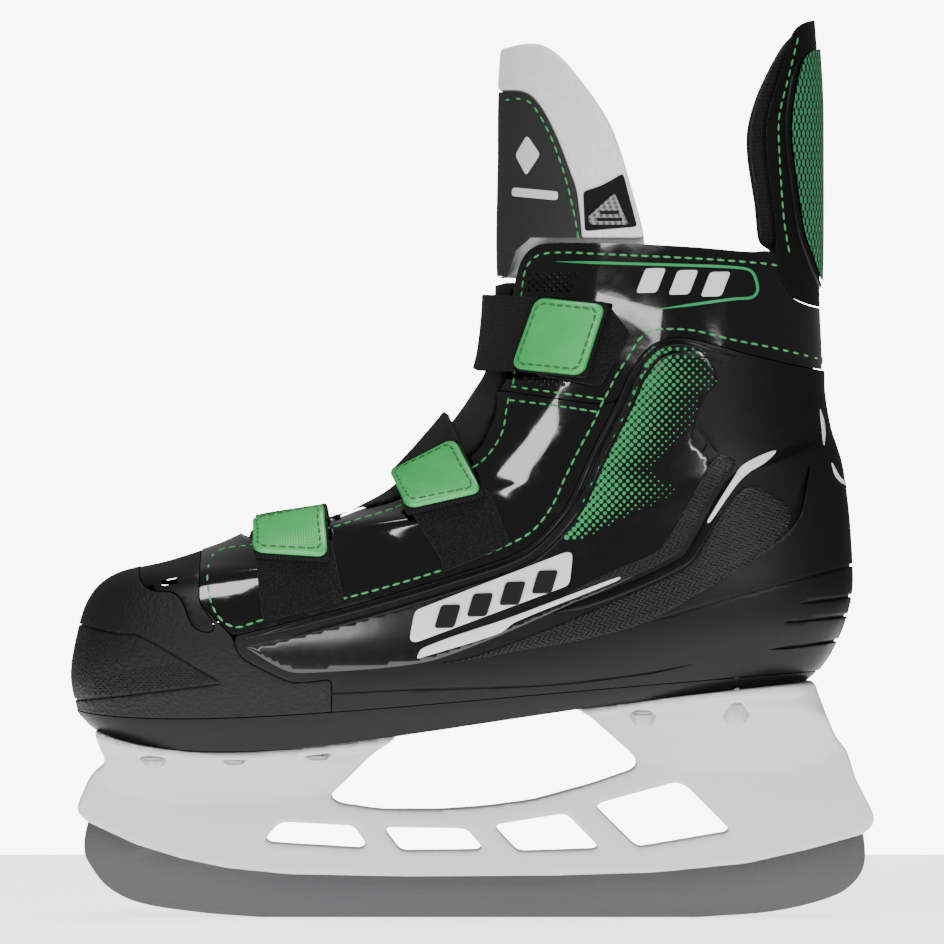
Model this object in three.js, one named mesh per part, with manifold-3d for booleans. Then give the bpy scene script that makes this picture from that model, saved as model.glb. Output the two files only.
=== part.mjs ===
// Youth hockey skate with three hook-and-loop straps, left foot.
// Millimetres. +X runs from toe to heel, -Y is the outer (lateral) side, +Z is up, z = 0 is the ice.
import * as THREE from "three";
import { mergeVertices } from "three/addons/utils/BufferGeometryUtils.js";
import { ParametricGeometry } from "three/addons/geometries/ParametricGeometry.js";
import Module from "manifold-3d";

const wasm = await Module();
wasm.setup();

// Overall sizes
const skateLength = 220.6; // nose of the toe cap to the tail of the holder
const skateHeight = 246.4; // ice to the top of the tendon guard
const bootWidth = 76; // boot last, across the ball of the foot

// Walls and layers, measured from the surface of the last
const gap = 0.3; // between pieces that lie on or beside each other
const upperWall = 2; // toe cap, vamp and ankle quarter
const ventSink = 0.2; // how far the vent plate lies below the toe cap
const shellProud = 0.8; // how far the lower shell stands out of the upper
const linerWall = 3.6; // padded lining
const tonguePad = 4; // padding of the tongue below the collar
const feltWall = 6.4; // free end of the tongue
const feltSink = 0.4; // how far the felt lies below the last's surface
const coverWall = 2; // dark cover on the felt
const coverSink = 0.6; // how far the cover lies below the last's surface
const collarPlay = 2.4; // room between the free tongue and the collar
const padWall = 5.7; // Achilles pad
const meshWall = 0.7; // mesh panel of the tendon guard
const loopWall = 1.3; // loop patches under the strap ends
const strapWall = 1.7; // webbing of the straps
const anchorSink = 1; // the sewn end lies flatter than the strap
const tabWall = 1.5; // pull tabs
const labelWall = 0.6;

// Sole and footbed
const boardWall = 2;
const bedWall = 3.5;
const heelSeat = 73.6; // height of the flat heel seat, graded with the skate
const heelSeatFront = 35; // x where the heel seat starts

// Holder and runner
const runnerWidth = 3;
const webHalf = 6.5; // half thickness of the holder above the steel
const flangeWall = 2.3;
const frontFlangeHalf = 27;
const rearFlangeHalf = 23;

// Fasteners
const rivetShank = 3;
const rivetHead = 6.4;
const rivetHeadHeight = 1.2;
const studShank = 4;
const studHead = 7;
const studHeadHeight = 2.4;
const studSeat = 3; // depth of the stud head's slot below the top of its lug
const lugFoot = 16; // length of a lug of the runner at its foot and its top
const lugTop = 12;
const nutAcross = 8;
const nutHeight = 1.6;
const studEnd = 0.3; // thread showing above the nut
const headRoom = 0.5; // air over the rivet and nut heads, under the footbed
const headPlay = 1; // air round a head

const columns = 24; // points round one section of the boot
const holderColumns = 16; // the same on the holder
const reach = 80; // half width of a cutting prism
const precision = 2e-3; // points closer than this to a flat face are taken as on it

// The patterns are drawn for a 220.6 x 246.4 mm skate and graded to the size wanted.
const gradeX = skateLength / 220.6;
const gradeZ = skateHeight / 246.4;
const gradeY = bootWidth / 76;
const pattern = (...points) => points.map(([x, z]) => new THREE.Vector2(x * gradeX, z * gradeZ));

// The last, level by level: front point x, z; back point x, z; dip of the sole line;
// half width at ball, waist and heel.
const levels = [
  [-108.6, 57.3, 94.5, 68.0, 3.4, 36.5, 31.5, 27.5],
  [-110.3, 66.0, 98.0, 73.0, 2.8, 38.2, 33.0, 29.5],
  [-109.0, 76.0, 101.6, 81.0, 2.0, 39.2, 33.5, 31.3],
  [-105.4, 87.5, 103.7, 90.0, 1.0, 38.7, 33.3, 31.5],
  [-98.0, 94.3, 103.7, 98.0, 0.4, 37.6, 32.8, 31.0],
  [-83.0, 98.2, 103.3, 105.0, 0.0, 36.0, 32.3, 30.2],
  [-70.0, 102.5, 102.8, 111.0, 0.0, 34.5, 31.8, 29.6],
  [-59.0, 106.8, 102.1, 117.0, 0.0, 33.5, 31.2, 29.2],
  [-39.0, 110.2, 100.9, 124.5, 0.0, 32.4, 30.6, 28.6],
  [-30.0, 113.5, 99.4, 129.5, 0.0, 31.5, 30.2, 28.2],
  [-20.5, 119.5, 97.8, 134.5, 0.0, 30.5, 29.7, 27.8],
  [-7.2, 134.0, 96.3, 143.0, 0.0, 29.2, 29.2, 27.3],
  [0.4, 144.5, 96.0, 150.0, 0.0, 28.7, 29.0, 27.2],
  [4.2, 152.0, 96.0, 156.0, 0.0, 28.4, 29.0, 27.2],
  [6.2, 168.0, 95.4, 170.0, 0.0, 28.2, 29.3, 27.4],
  [6.0, 186.0, 95.6, 186.0, 0.0, 29.0, 30.6, 28.4],
  [6.4, 206.0, 95.6, 206.0, 0.0, 29.4, 31.2, 28.8],
  [6.6, 226.0, 95.4, 226.0, 0.0, 29.2, 31.0, 28.6],
  [8.0, 247.2, 94.0, 247.2, 0.0, 28.0, 29.6, 27.6],
];
const footRoundness = 2.4; // exponent of the ends of a section, low on the boot
const cuffRoundness = 2.1; // the same at the cuff
const toeSwing = 3; // how far the nose leans to the inner side

const mix = (a, b, t) => a + (b - a) * t;

// Half width along a section, through its three given values.
const widthAlong = (s, ball, waist, heel) => {
  const slope = (waist - ball) / 0.3;
  const bend = ((heel - waist) / 0.28 - slope) / 0.58;
  return ball + (s - 0.28) * slope + (s - 0.28) * (s - 0.58) * bend;
};

const dipShape = (s) => Math.sin(Math.PI * Math.sqrt(s)) ** 1.6;

// Point of the last at a level (a fraction lies between two rows) and a turn round it, 0 at the nose.
const lastPoint = (level, turn) => {
  const low = Math.min(Math.floor(Math.max(level, 0)), levels.length - 2);
  const row = levels[low].map((value, i) => mix(value, levels[low + 1][i], level - low));
  const [frontX, frontZ, backX, backZ, dip, ball, waist, heel] = row;
  const cosine = Math.cos(2 * Math.PI * turn);
  const s = (1 - cosine) / 2;
  const power = mix(footRoundness, cuffRoundness, Math.min(1, Math.max(0, level / 13)));
  const round = Math.max(0, 1 - Math.abs(cosine) ** power) ** (1 / power);
  const side = turn % 1 < 0.5 ? 1 : -1;
  const swing = toeSwing * Math.max(0, 1 - s / 0.3) ** 2;
  return new THREE.Vector3(
    mix(frontX, backX, s) * gradeX,
    (side * widthAlong(s, ball, waist, heel) * round + swing) * gradeY,
    (mix(frontZ, backZ, s) - dip * dipShape(s)) * gradeZ
  );
};

// The same point moved out (or in, if negative) along the surface normal.
const layerPoint = (level, turn, offset) => {
  const step = 0.004;
  const around = lastPoint(level, turn + step).sub(lastPoint(level, turn - step + 1));
  const up = lastPoint(Math.min(level + 0.3, levels.length - 1), turn)
    .sub(lastPoint(Math.max(level - 0.3, 0), turn));
  const normal = up.cross(around).normalize();
  if (level === 0) {
    normal.setZ(0).normalize(); // the sole edge stays at its height
  }
  return lastPoint(level, turn).addScaledVector(normal, offset);
};

// Manifold solid of a closed three.js geometry.
const solidOf = (geometry) => {
  geometry.deleteAttribute("normal");
  geometry.deleteAttribute("uv");
  const merged = mergeVertices(geometry, 1e-4);
  const corners = merged.index.array;
  const triangles = [];
  for (let i = 0; i < corners.length; i += 3) {
    const [a, b, c] = corners.slice(i, i + 3);
    if (a !== b && b !== c && c !== a) {
      triangles.push(a, b, c);
    }
  }
  return new wasm.Manifold(new wasm.Mesh({
    numProp: 3,
    vertProperties: merged.attributes.position.array,
    triVerts: new Uint32Array(triangles),
  })).setTolerance(precision);
};

// Closed loft through sections, each a function of the turn; both ends are closed along the middle.
const loft = (sections, count = columns) => {
  const last = sections.length - 1;
  const place = (share, height, target) => {
    const turn = (1 - share) % 1;
    const row = Math.round(height * (last + 2)) - 1;
    const section = sections[Math.min(Math.max(row, 0), last)];
    target.copy(section(turn));
    if (row < 0 || row > last) {
      target.add(section((1 - turn) % 1)).multiplyScalar(0.5);
    }
  };
  return solidOf(new ParametricGeometry(place, count, last + 2));
};

const swingAt = (x) => {
  const s = Math.min(1, Math.max(0, (x / gradeX + 110) / 205));
  return toeSwing * Math.max(0, 1 - s / 0.3) ** 2 * gradeY;
};

// The whole last at an offset. With open ends it runs past the sole and the top, to cut with.
const form = (offset, openEnds = false) => {
  const stretch = openEnds ? 12 : 0;
  const sections = levels.map((_, level) => (turn) => {
    const point = layerPoint(level, turn, offset);
    if (level === 0) {
      point.z -= stretch;
    }
    if (level === levels.length - 1) {
      point.z += stretch;
    }
    return point;
  });
  return loft(sections);
};

// Shell between two offsets, open below and above.
const layer = (outer, inner) => form(outer).subtract(form(inner, true));

// Prism along Y from an outline in the side view.
const prism = (outline, near = -reach, far = reach) => {
  const geometry = new THREE.ExtrudeGeometry(new THREE.Shape(outline), {
    depth: far - near,
    bevelEnabled: false,
  });
  geometry.rotateX(Math.PI / 2);
  geometry.translate(0, far, 0);
  return solidOf(geometry);
};

// Outline moved inwards by a distance, or outwards if negative.
const inset = (outline, distance) => {
  const turning = THREE.ShapeUtils.isClockWise(outline) ? -1 : 1;
  return outline.map((point, i) => {
    const before = outline[(i + outline.length - 1) % outline.length];
    const after = outline[(i + 1) % outline.length];
    const a = point.clone().sub(before).normalize();
    const b = after.clone().sub(point).normalize();
    const across = new THREE.Vector2(-a.y - b.y, a.x + b.x);
    const stretch = Math.max(0.5, across.lengthSq() / 4);
    return point.clone().addScaledVector(across, (turning * distance) / (2 * stretch));
  });
};

const box = (x0, x1, y0, y1, z0, z1) => {
  const geometry = new THREE.BoxGeometry(x1 - x0, y1 - y0, z1 - z0);
  geometry.translate((x0 + x1) / 2, (y0 + y1) / 2, (z0 + z1) / 2);
  return solidOf(geometry);
};

// Upright round or many-sided bar.
const bar = (x, y, z0, z1, diameter, sides = 16) => {
  const geometry = new THREE.CylinderGeometry(diameter / 2, diameter / 2, z1 - z0, sides);
  geometry.rotateX(Math.PI / 2);
  geometry.translate(x, y, (z0 + z1) / 2);
  return solidOf(geometry);
};

const outerHalf = prism(pattern([-150, 0], [150, 0], [150, 300], [-150, 300]), -reach, 0);
const innerHalf = prism(pattern([-150, 0], [150, 0], [150, 300], [-150, 300]), 0, reach);

const skate = new THREE.Group();
const add = (name, solid, color, roughness, metalness = 0) => {
  const { numProp, vertProperties, triVerts } = solid.getMesh();
  const positions = new Float32Array((vertProperties.length / numProp) * 3);
  for (let i = 0; i < positions.length / 3; i += 1) {
    positions.set(vertProperties.subarray(i * numProp, i * numProp + 3), i * 3);
  }
  const geometry = new THREE.BufferGeometry();
  geometry.setAttribute("position", new THREE.BufferAttribute(positions, 3));
  geometry.setIndex(new THREE.BufferAttribute(triVerts, 1));
  geometry.computeVertexNormals();
  const mesh = new THREE.Mesh(geometry, new THREE.MeshStandardMaterial({ color, roughness, metalness }));
  mesh.name = name;
  skate.add(mesh);
};

// ---- seam lines of the upper, side view, from toe to heel ----
const rimLine = [
  [-65, 78.2], [-46.6, 83], [-24.9, 88.9], [-4.2, 95.2], [10.5, 100.1], [16.7, 103.9], [23, 110.4],
  [27.1, 116.4], [32.8, 128.9], [39.6, 142.3],
];
const rimTop = [
  [43.4, 150.7], [48.6, 157.2], [54.5, 159.4], [60.8, 158.8], [77.9, 154.2], [98.9, 149.9], [115, 149.9],
];
const capBack = [[-38.5, 40], [-38, 66.8], [-48.6, 65.8], [-54, 68], [-63, 73]];
const capTop = [[-74.2, 87.4], [-74.2, 112]];
const waistSeam = [[34.7, 141.4], [19.4, 143.3], [8, 145]];
const throatLow = [
  [6.7, 139], [3.7, 132.2], [0.8, 127.8], [-19.4, 115.3], [-30.9, 111.8], [-37.1, 109.3], [-60, 104.2],
  [-63, 104.6], [-66, 112],
];
const throatHigh = [[21.4, 185.3], [17.5, 184.7], [13.7, 181.2], [11.8, 175.2], [11, 169.7], [9.4, 149.3]];
const collarLine = [[82.4, 183.5], [77.9, 182.8], [62.2, 184.1], [40.4, 185.2]];
const guardSeam = [[115, 167], [98, 167], [88, 170], [84, 176]];

const liningTop = -upperWall - gap; // surface that pads and lining lie against
const sidePiece = (outer, inner, points, clearance = gap / 2) =>
  layer(outer, inner).intersect(prism(inset(pattern(...points), clearance)));

// ---- upper ----
const ventOutline = [
  [-88.3, 90.7], [-81.2, 90.3], [-78.6, 87.2], [-76.6, 81.9], [-74.4, 79.7], [-69.9, 79.3], [-70.3, 82.2],
  [-74, 86.6], [-74, 112], [-91.1, 112], [-91.1, 93.8],
];
const capOutline = [[-118, 40], ...capBack, rimLine[0], ...capTop, [-118, 112]];
const ventSlots = prism(pattern([-83.5, 91.6], [-79.9, 92], [-80.2, 93.4], [-83.7, 93.2]));
const toeCap = sidePiece(0, -upperWall, capOutline)
  .subtract(prism(inset(pattern(...ventOutline), -gap / 2)));
const ventPlate = sidePiece(-ventSink, -upperWall, ventOutline)
  .intersect(prism(inset(pattern(...capOutline), gap / 2)))
  .subtract(ventSlots);
add("toe_cap", toeCap, 0x3a3a3b, 0.62);
add("toe_vent_plate", ventPlate, 0x2c2c2d, 0.45);

const shellOutline = [...rimLine, ...rimTop, [115, 40], ...capBack];
add("lower_shell", sidePiece(shellProud, -upperWall, shellOutline), 0x1b1b1c, 0.4);

const vampOutline = [...rimLine, ...waistSeam, ...throatLow, ...[...capTop].reverse()];
add("vamp", sidePiece(0, -upperWall, vampOutline), 0x0b0b0c, 0.12);

const quarterOutline = [
  ...[...waistSeam].reverse(), rimLine.at(-1), ...rimTop, ...guardSeam, ...collarLine, ...throatHigh,
];
add("ankle_quarter", sidePiece(0, -upperWall, quarterOutline), 0x0e0e0f, 0.14);

const guardOutline = [
  ...guardSeam, collarLine[0], [83, 186], [82.1, 194.5], [80.9, 203], [80.1, 211], [80.4, 219.5], [83, 228.6],
  [88.8, 244.4], [93.2, 246.4], [115, 246.4],
];
add("tendon_guard", sidePiece(0, -upperWall, guardOutline), 0x1c1c1d, 0.5);
const guardMeshOutline = [
  [115, 173.5], [95.8, 173.5], [92.6, 183.3], [90.9, 188.2], [89.2, 198.6], [88, 207], [87.2, 215.4],
  [87.6, 222], [89.2, 231.2], [91.3, 236.6], [94.2, 238.6], [115, 238.6],
];
add("guard_mesh_insert", sidePiece(gap + meshWall, gap, guardMeshOutline), 0x3d8a5c, 0.55);
const padOutline = [
  ...guardSeam, collarLine[0], [79.2, 184.2], [77.9, 194.5], [75.5, 213.2], [77.7, 224.1], [82.6, 235],
  [86.4, 241], [91, 244.6], [115, 244.6],
];
add("achilles_pad", sidePiece(liningTop, liningTop - padWall, padOutline), 0x151516, 0.85);

// ---- sole, board and footbed ----
const soleBottom = [-105.5, 53.6, 91.5, 65, 9.3, 32, 27.5, 24.5];
const soleHeight = (x) => {
  const [frontX, frontZ, backX, backZ, dip] = soleBottom;
  const s = Math.min(1, Math.max(0, (x / gradeX - frontX) / (backX - frontX)));
  return (mix(frontZ, backZ, s) - dip * dipShape(s)) * gradeZ;
};
const planSection = (row, power) => (turn) => {
  const [frontX, frontZ, backX, backZ, dip, ball, waist, heel] = row;
  const cosine = Math.cos(2 * Math.PI * turn);
  const s = (1 - cosine) / 2;
  const side = turn % 1 < 0.5 ? 1 : -1;
  const round = Math.max(0, 1 - Math.abs(cosine) ** power) ** (1 / power);
  const x = mix(frontX, backX, s) * gradeX;
  const y = side * widthAlong(s, ball, waist, heel) * round * gradeY;
  return new THREE.Vector3(x, y + swingAt(x), (mix(frontZ, backZ, s) - dip * dipShape(s)) * gradeZ);
};
const edgeSection = (offset, height) => (turn) => {
  const point = layerPoint(0, turn, offset);
  point.z = height(lastPoint(0, turn));
  return point;
};
const bedTop = (point) => {
  const plain = point.z + boardWall + gap + bedWall;
  const flat = heelSeat * gradeZ;
  const front = heelSeatFront * gradeX;
  if (point.x >= front) {
    return flat;
  }
  const blend = Math.min(1, (front - point.x) / 40);
  return mix(flat, plain, blend);
};
const rivetPlaces = [];
[[-87.2, 15], [-64.9, 19], [-42, 19], [46.6, 14.5], [72.2, 15.5]].forEach(([x, y], i) => {
  rivetPlaces.push([`rivet_outer_${i + 1}`, x * gradeX, -y * gradeY]);
  rivetPlaces.push([`rivet_inner_${i + 1}`, x * gradeX, y * gradeY]);
});
const nutCorner = nutAcross / Math.cos(Math.PI / 6); // across the corners of a nut
const studPlaces = [["front", -72 * gradeX, 36 * gradeZ], ["rear", 82 * gradeX, 41 * gradeZ]];
const soleHoles = (clear) => {
  const rivets = rivetPlaces.map(([, x, y]) => bar(x, y, 0, 100 * gradeZ, rivetShank + 2 * clear, 8));
  const studs = studPlaces.map(([, x]) => bar(x, 0, 0, 100 * gradeZ, studShank + 2 * clear, 8));
  return wasm.Manifold.union([...rivets, ...studs]);
};
const holes = soleHoles(gap);
const boardTopAt = (x) => {
  const [frontX, frontZ, backX, backZ, dip] = levels[0];
  const s = Math.min(1, Math.max(0, (x / gradeX - frontX) / (backX - frontX)));
  return (mix(frontZ, backZ, s) - dip * dipShape(s)) * gradeZ + boardWall;
};
const outsole = loft([
  planSection(soleBottom, footRoundness),
  (turn) => planSection(soleBottom, footRoundness)(turn).lerp(lastPoint(0, turn), 0.55),
  (turn) => lastPoint(0, turn).add(new THREE.Vector3(0, 0, -gap)),
]);
add("outsole", outsole.subtract(holes), 0x161617, 0.55);
const board = loft([
  edgeSection(liningTop, (point) => point.z),
  edgeSection(liningTop, (point) => point.z + boardWall),
]);
add("lasting_board", board.subtract(holes), 0x6b5b45, 0.9);
const bed = loft([
  edgeSection(liningTop - gap, (point) => point.z + boardWall + gap),
  edgeSection(liningTop - gap, bedTop),
]);
const roomOver = (x, y, height, across) => {
  const top = boardTopAt(x) + gap + height + headRoom;
  return bar(x, y, 0, top, across + headPlay, 8);
};
const roomForHeads = wasm.Manifold.union([
  ...rivetPlaces.map(([, x, y]) => roomOver(x, y, rivetHeadHeight, rivetHead)),
  ...studPlaces.map(([, x]) => roomOver(x, 0, nutHeight + studEnd, nutCorner)),
]);
add("footbed", bed.subtract(roomForHeads), 0x2a2b2e, 0.9);

// ---- lining and tongue ----
const bedBlock = loft([
  edgeSection(4, (point) => point.z - 20),
  edgeSection(4, (point) => bedTop(point) + gap),
]);
const tongueBack = [[-66, 98], [-40, 98], [-22, 103], [-4, 113], [10, 125], [22, 142], [28, 160]];
const linerOutline = [
  [-66, 40], ...tongueBack, [32, 171.5], [49.6, 173.5], [50, 183.6], [62.2, 183.2], [77.9, 182],
  [80.6, 182.4], [84, 176], [88, 170], [98, 167], [115, 167], [115, 40],
];
const liner = sidePiece(liningTop, liningTop - linerWall, linerOutline, gap)
  .subtract(bedBlock);
add("boot_liner", liner, 0x202124, 0.92);

const throatOpening = [
  ...throatLow.slice(0, -1), [-66, 130], [-40, 150], [-20, 176], [11.4, 174], [11, 169.7], [9.4, 149.3],
  [8, 145],
];
const tongueLowOutline = [...tongueBack, [32, 174.4], [-20, 174.4], [-66, 130]];
const tongueLow = sidePiece(liningTop, liningTop - tonguePad, tongueLowOutline);
const tongueHump = sidePiece(0, liningTop - 1, throatOpening, 2 * gap)
  .intersect(prism(pattern([-61, 60], [60, 60], [60, 174.2], [-61, 174.2])));
add("tongue_lower", tongueLow.add(tongueHump), 0x141415, 0.9);

const tongueSeam = 175.4;
const tongueOutline = [
  [-20, tongueSeam], [47.8, tongueSeam], [47, 186.3], [41.8, 205.9], [39.7, 212.6], [37.2, 218.4],
  [33, 225.1], [28.9, 230.5], [24.8, 235.5], [20.5, 238.8], [18.1, 239.7], [13.1, 239.6],
  [9.3, 238.6], [-20, 236],
];
const coverOutline = [
  [-20, tongueSeam + 0.6], [30.2, tongueSeam + 0.6], [29.7, 186], [28.1, 200.1], [26.8, 203.5], [24.8, 209.2],
  [22.2, 215.5], [19.7, 220.5], [16.4, 225.1], [13.9, 226.3], [9.3, 226.6], [-20, 225.3],
];
const collarZone = [[8, 160], [60, 160], [60, 186.6], [16, 186.6], [12, 183], [10, 177], [8, 170]];
const coverBase = -coverSink - coverWall;
const coverBed = layer(6, coverBase - gap)
  .intersect(prism(inset(pattern(...coverOutline), -gap)));
const collarBed = layer(6, -upperWall - collarPlay).intersect(prism(pattern(...collarZone)));
const felt = sidePiece(-feltSink, -feltSink - feltWall, tongueOutline, 0)
  .subtract(coverBed)
  .subtract(collarBed);
add("tongue_felt", felt, 0xf2f2ef, 0.95);
add("tongue_cover", sidePiece(-coverSink, coverBase, coverOutline, 0).subtract(collarBed), 0x464646, 0.6);
const labelOutline = [[30.9, 199.4], [41.2, 202.6], [45.4, 189], [31.9, 189]];
const labelBase = gap - feltSink;
const label = sidePiece(labelBase + labelWall, labelBase, labelOutline, 0).intersect(outerHalf);
add("size_label", label, 0x9a9b9d, 0.5);

// ---- straps ----
const strapBase = gap + loopWall + gap;
const strapTop = strapBase + strapWall;
const tabBase = strapTop + gap;

// Place on a layer seen at x, z in the side view; side is -1 outer, +1 inner.
const onLayer = ([x, z], offset, side) => {
  let best = null;
  for (let level = 0; level < levels.length - 1; level += 0.125) {
    for (let i = 0; i <= 96; i += 1) {
      const turn = side > 0 ? i / 192 : 1 - i / 192;
      const point = layerPoint(level, turn === 1 ? 0 : turn, offset);
      const miss = Math.hypot(point.x - x * gradeX, point.z - z * gradeZ);
      if (!best || miss < best.miss) {
        best = { miss, point, level, turn };
      }
    }
  }
  return best;
};

// Half space beyond a fold line on the outer face of a strap; the fold is also a hinge axis.
const beyondFold = (from, to, side, clearance) => {
  const a = onLayer(from, strapTop, side);
  const b = onLayer(to, strapTop, side);
  const along = b.point.clone().sub(a.point).normalize();
  const inside = layerPoint((a.level + b.level) / 2, (a.turn + b.turn) / 2, strapTop - 1);
  const outside = layerPoint((a.level + b.level) / 2, (a.turn + b.turn) / 2, strapTop);
  const normal = outside.sub(inside).normalize();
  const away = along.clone().cross(normal).normalize();
  const square = normal.clone().cross(away).normalize();
  const frame = new THREE.Matrix4().makeBasis(away, square, away.clone().cross(square));
  const block = new THREE.BoxGeometry(2 * reach, 2 * reach, 2 * reach);
  block.translate(reach + clearance, 0, 0);
  block.applyMatrix4(frame);
  const middle = a.point.clone().add(b.point).multiplyScalar(0.5);
  block.translate(middle.x, middle.y, middle.z);
  return solidOf(block);
};

const straps = [
  {
    name: "toe",
    band: [[-59.8, 125], [-59.4, 95], [-39, 95], [-40.9, 125]],
    peel: [[-59.8, 108.9], [-40.9, 112.4]],
    sewn: [[-39, 99.3], [-59.4, 100.6]],
    anchor: [[-59.4, 112], [-57.9, 87.5], [-36.6, 88.8], [-39.6, 112]],
    tip: [[-59.8, 125], [-59.6, 100.6], [-39, 99.3], [-40.9, 125]],
    tab: [[-59.8, 118], [-59.4, 101.2], [-39.4, 100], [-41, 118]],
    loop: [[-59.2, 106], [-57.1, 85.2], [-56.4, 82.2], [-34.4, 87.8], [-35.2, 90], [-38, 106]],
  },
  {
    name: "middle",
    band: [
      [-38, 141], [-22.4, 122.5], [-17.8, 112.3], [-9, 93], [14, 98], [3.2, 117], [-4.2, 131.5], [-14, 152],
    ],
    peel: [[-21.2, 122], [-5.4, 130.6]],
    sewn: [[3.1, 117], [-17.3, 112.3]],
    anchor: [[-24, 128], [-9.6, 98.4], [10.4, 103.6], [-4, 134]],
    tip: [[-38, 141], [-17.6, 112.3], [3.1, 117], [-14, 152]],
    tab: [[-34, 137], [-17.2, 113], [2.6, 117.6], [-10, 146]],
    loop: [[-19.6, 117], [-7.8, 98], [-8.9, 95.4], [0.1, 98.8], [10.4, 103.4], [3.6, 120.3]],
  },
  {
    name: "ankle",
    band: [[-12, 171.4], [18.6, 170.5], [50, 167.2], [44, 147.4], [11.5, 150.6], [-12, 150.8]],
    peel: [[11.7, 151.5], [18.1, 170]],
    sewn: [[36.9, 168.1], [30.9, 149.2]],
    anchor: [[28, 169.2], [47.6, 166.4], [42.2, 147.8], [24, 149.8]],
    tip: [[0, 171.4], [18.6, 170.5], [36.9, 168.1], [30.9, 149.2], [11.5, 150.6], [0, 150.8]],
    tab: [[0, 170.8], [18.1, 169.8], [36.2, 167.6], [30.4, 149.9], [11.7, 151.3], [0, 151.5]],
    loop: [[19.6, 170], [36.3, 169.2], [43, 160.6], [35.2, 146], [17.5, 148.9]],
  },
];
straps.forEach(({ name, band, peel, sewn, anchor, tip, tab, loop }) => {
  const webbing = layer(strapTop, strapBase).intersect(prism(pattern(...band)));
  const pastPeel = beyondFold(...peel, -1, 0);
  const pastPeelGap = beyondFold(...peel, -1, -gap);
  const pastSewn = beyondFold(...sewn, 1, 0);
  const pastSewnGap = beyondFold(...sewn, 1, -gap);
  const tipZone = prism(pattern(...tip)).intersect(outerHalf);
  const strap = webbing.subtract(pastPeelGap.intersect(outerHalf)).subtract(pastSewnGap.intersect(innerHalf));
  add(`${name}_strap`, strap, 0x242425, 0.85);
  add(`${name}_strap_tip`, webbing.intersect(pastPeel).intersect(tipZone), 0x242425, 0.85);
  const anchorBase = shellProud + gap;
  const anchorSolid = layer(strapTop - anchorSink, anchorBase)
    .intersect(prism(pattern(...anchor)))
    .intersect(pastSewn)
    .intersect(innerHalf);
  add(`${name}_strap_anchor`, anchorSolid, 0x242425, 0.85);
  const tabSolid = layer(tabBase + tabWall, tabBase)
    .intersect(prism(pattern(...tab)))
    .intersect(pastPeel)
    .intersect(outerHalf);
  add(`${name}_pull_tab`, tabSolid, 0x3fae68, 0.35);
  const loopSolid = layer(gap + loopWall, gap).intersect(prism(pattern(...loop))).intersect(outerHalf);
  add(`${name}_loop_patch`, loopSolid, 0x1d1d1e, 0.95);
});

// ---- holder, runner and fasteners ----
const holderOutline = pattern(
  [-103.9, 62], [-103.5, 51.4], [-102.1, 47.3], [-100.2, 43], [-104.9, 38.9], [-108.3, 31], [-108.3, 28.8],
  [-105.5, 26.4], [-92.2, 20.2], [-79.6, 16.3], [-67, 13.7], [-50.2, 12], [-16.7, 11.4], [24.9, 11.7],
  [50.2, 12.5], [75.4, 15], [92.1, 18.8], [107.3, 23], [110.3, 25.6], [110.3, 28.5], [105.1, 38.5],
  [103.1, 45.7], [99.7, 49.8], [97.2, 55.8], [94.2, 63.6], [94.2, 75], [25.8, 75], [25.8, 58.6], [30.9, 56.6],
  [44.3, 44.8], [45.6, 42.3], [44.3, 40.6], [33.3, 36.8], [16.6, 32.2], [3.9, 30.5], [-8.6, 29.6],
  [-25, 29.6], [-36.9, 31.3], [-39.3, 33.5], [-33.4, 38.9], [-26.8, 45.7], [-20.6, 49.5], [-20.6, 62]
);
const windows = [
  pattern([-57.8, 20.6], [-52.7, 26.4], [-32.4, 25.4], [-28, 18.8]),
  pattern([-24.6, 25], [-1.5, 24.6], [3.7, 18.5], [-19.6, 18.2]),
  pattern([5.7, 25.5], [25.8, 28.8], [35.5, 18.8], [12.6, 18]),
  pattern([33.3, 31.1], [56.1, 37.4], [58.9, 36.2], [71.4, 23.6], [45.4, 19.2]),
];
const oval = (x0, x1, half, z, power = 3) => (turn) => {
  const cosine = Math.cos(2 * Math.PI * turn);
  const side = turn % 1 < 0.5 ? 1 : -1;
  const round = Math.max(0, 1 - Math.abs(cosine) ** power) ** (1 / power);
  return new THREE.Vector3(mix(x0, x1, (1 - cosine) / 2) * gradeX, side * half * round, z * gradeZ);
};
const holderSide = prism(holderOutline);
const web = prism(holderOutline, -webHalf, webHalf);
const frontTower = loft([
  oval(-106, -36, webHalf - 1, 30), oval(-107, -30, 9.5, 38), oval(-106, -24, 14, 43),
  oval(-105, -21, 22, 47), oval(-105, -21, 24, 60),
], holderColumns);
const rearTower = loft([
  oval(38, 106, webHalf - 1, 38), oval(33, 106, 10, 50), oval(29, 102, 14, 55),
  oval(26, 97, 19, 59), oval(26, 96, 21, 74),
], holderColumns);
const flange = (x0, x1, half) => {
  const steps = 8;
  const upper = [];
  const lower = [];
  for (let i = 0; i <= steps; i += 1) {
    const x = mix(x0, x1, i / steps) * gradeX;
    upper.push(new THREE.Vector2(x, soleHeight(x) + 3));
    lower.unshift(new THREE.Vector2(x, soleHeight(x) - gap - flangeWall));
  }
  const plan = loft([oval(x0, x1, half * gradeY, 20), oval(x0, x1, half * gradeY, 90)], holderColumns);
  return prism([...upper, ...lower]).intersect(plan);
};
const flanges = flange(-104.5, -20.6, frontFlangeHalf).add(flange(25.8, 94.6, rearFlangeHalf));
const soleBlock = prism([
  ...Array.from({ length: 21 }, (_, i) => {
    const x = mix(-112, 112, i / 20) * gradeX;
    return new THREE.Vector2(x, soleHeight(x) - gap);
  }),
  new THREE.Vector2(112 * gradeX, 120 * gradeZ), new THREE.Vector2(-112 * gradeX, 120 * gradeZ),
]);
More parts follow.
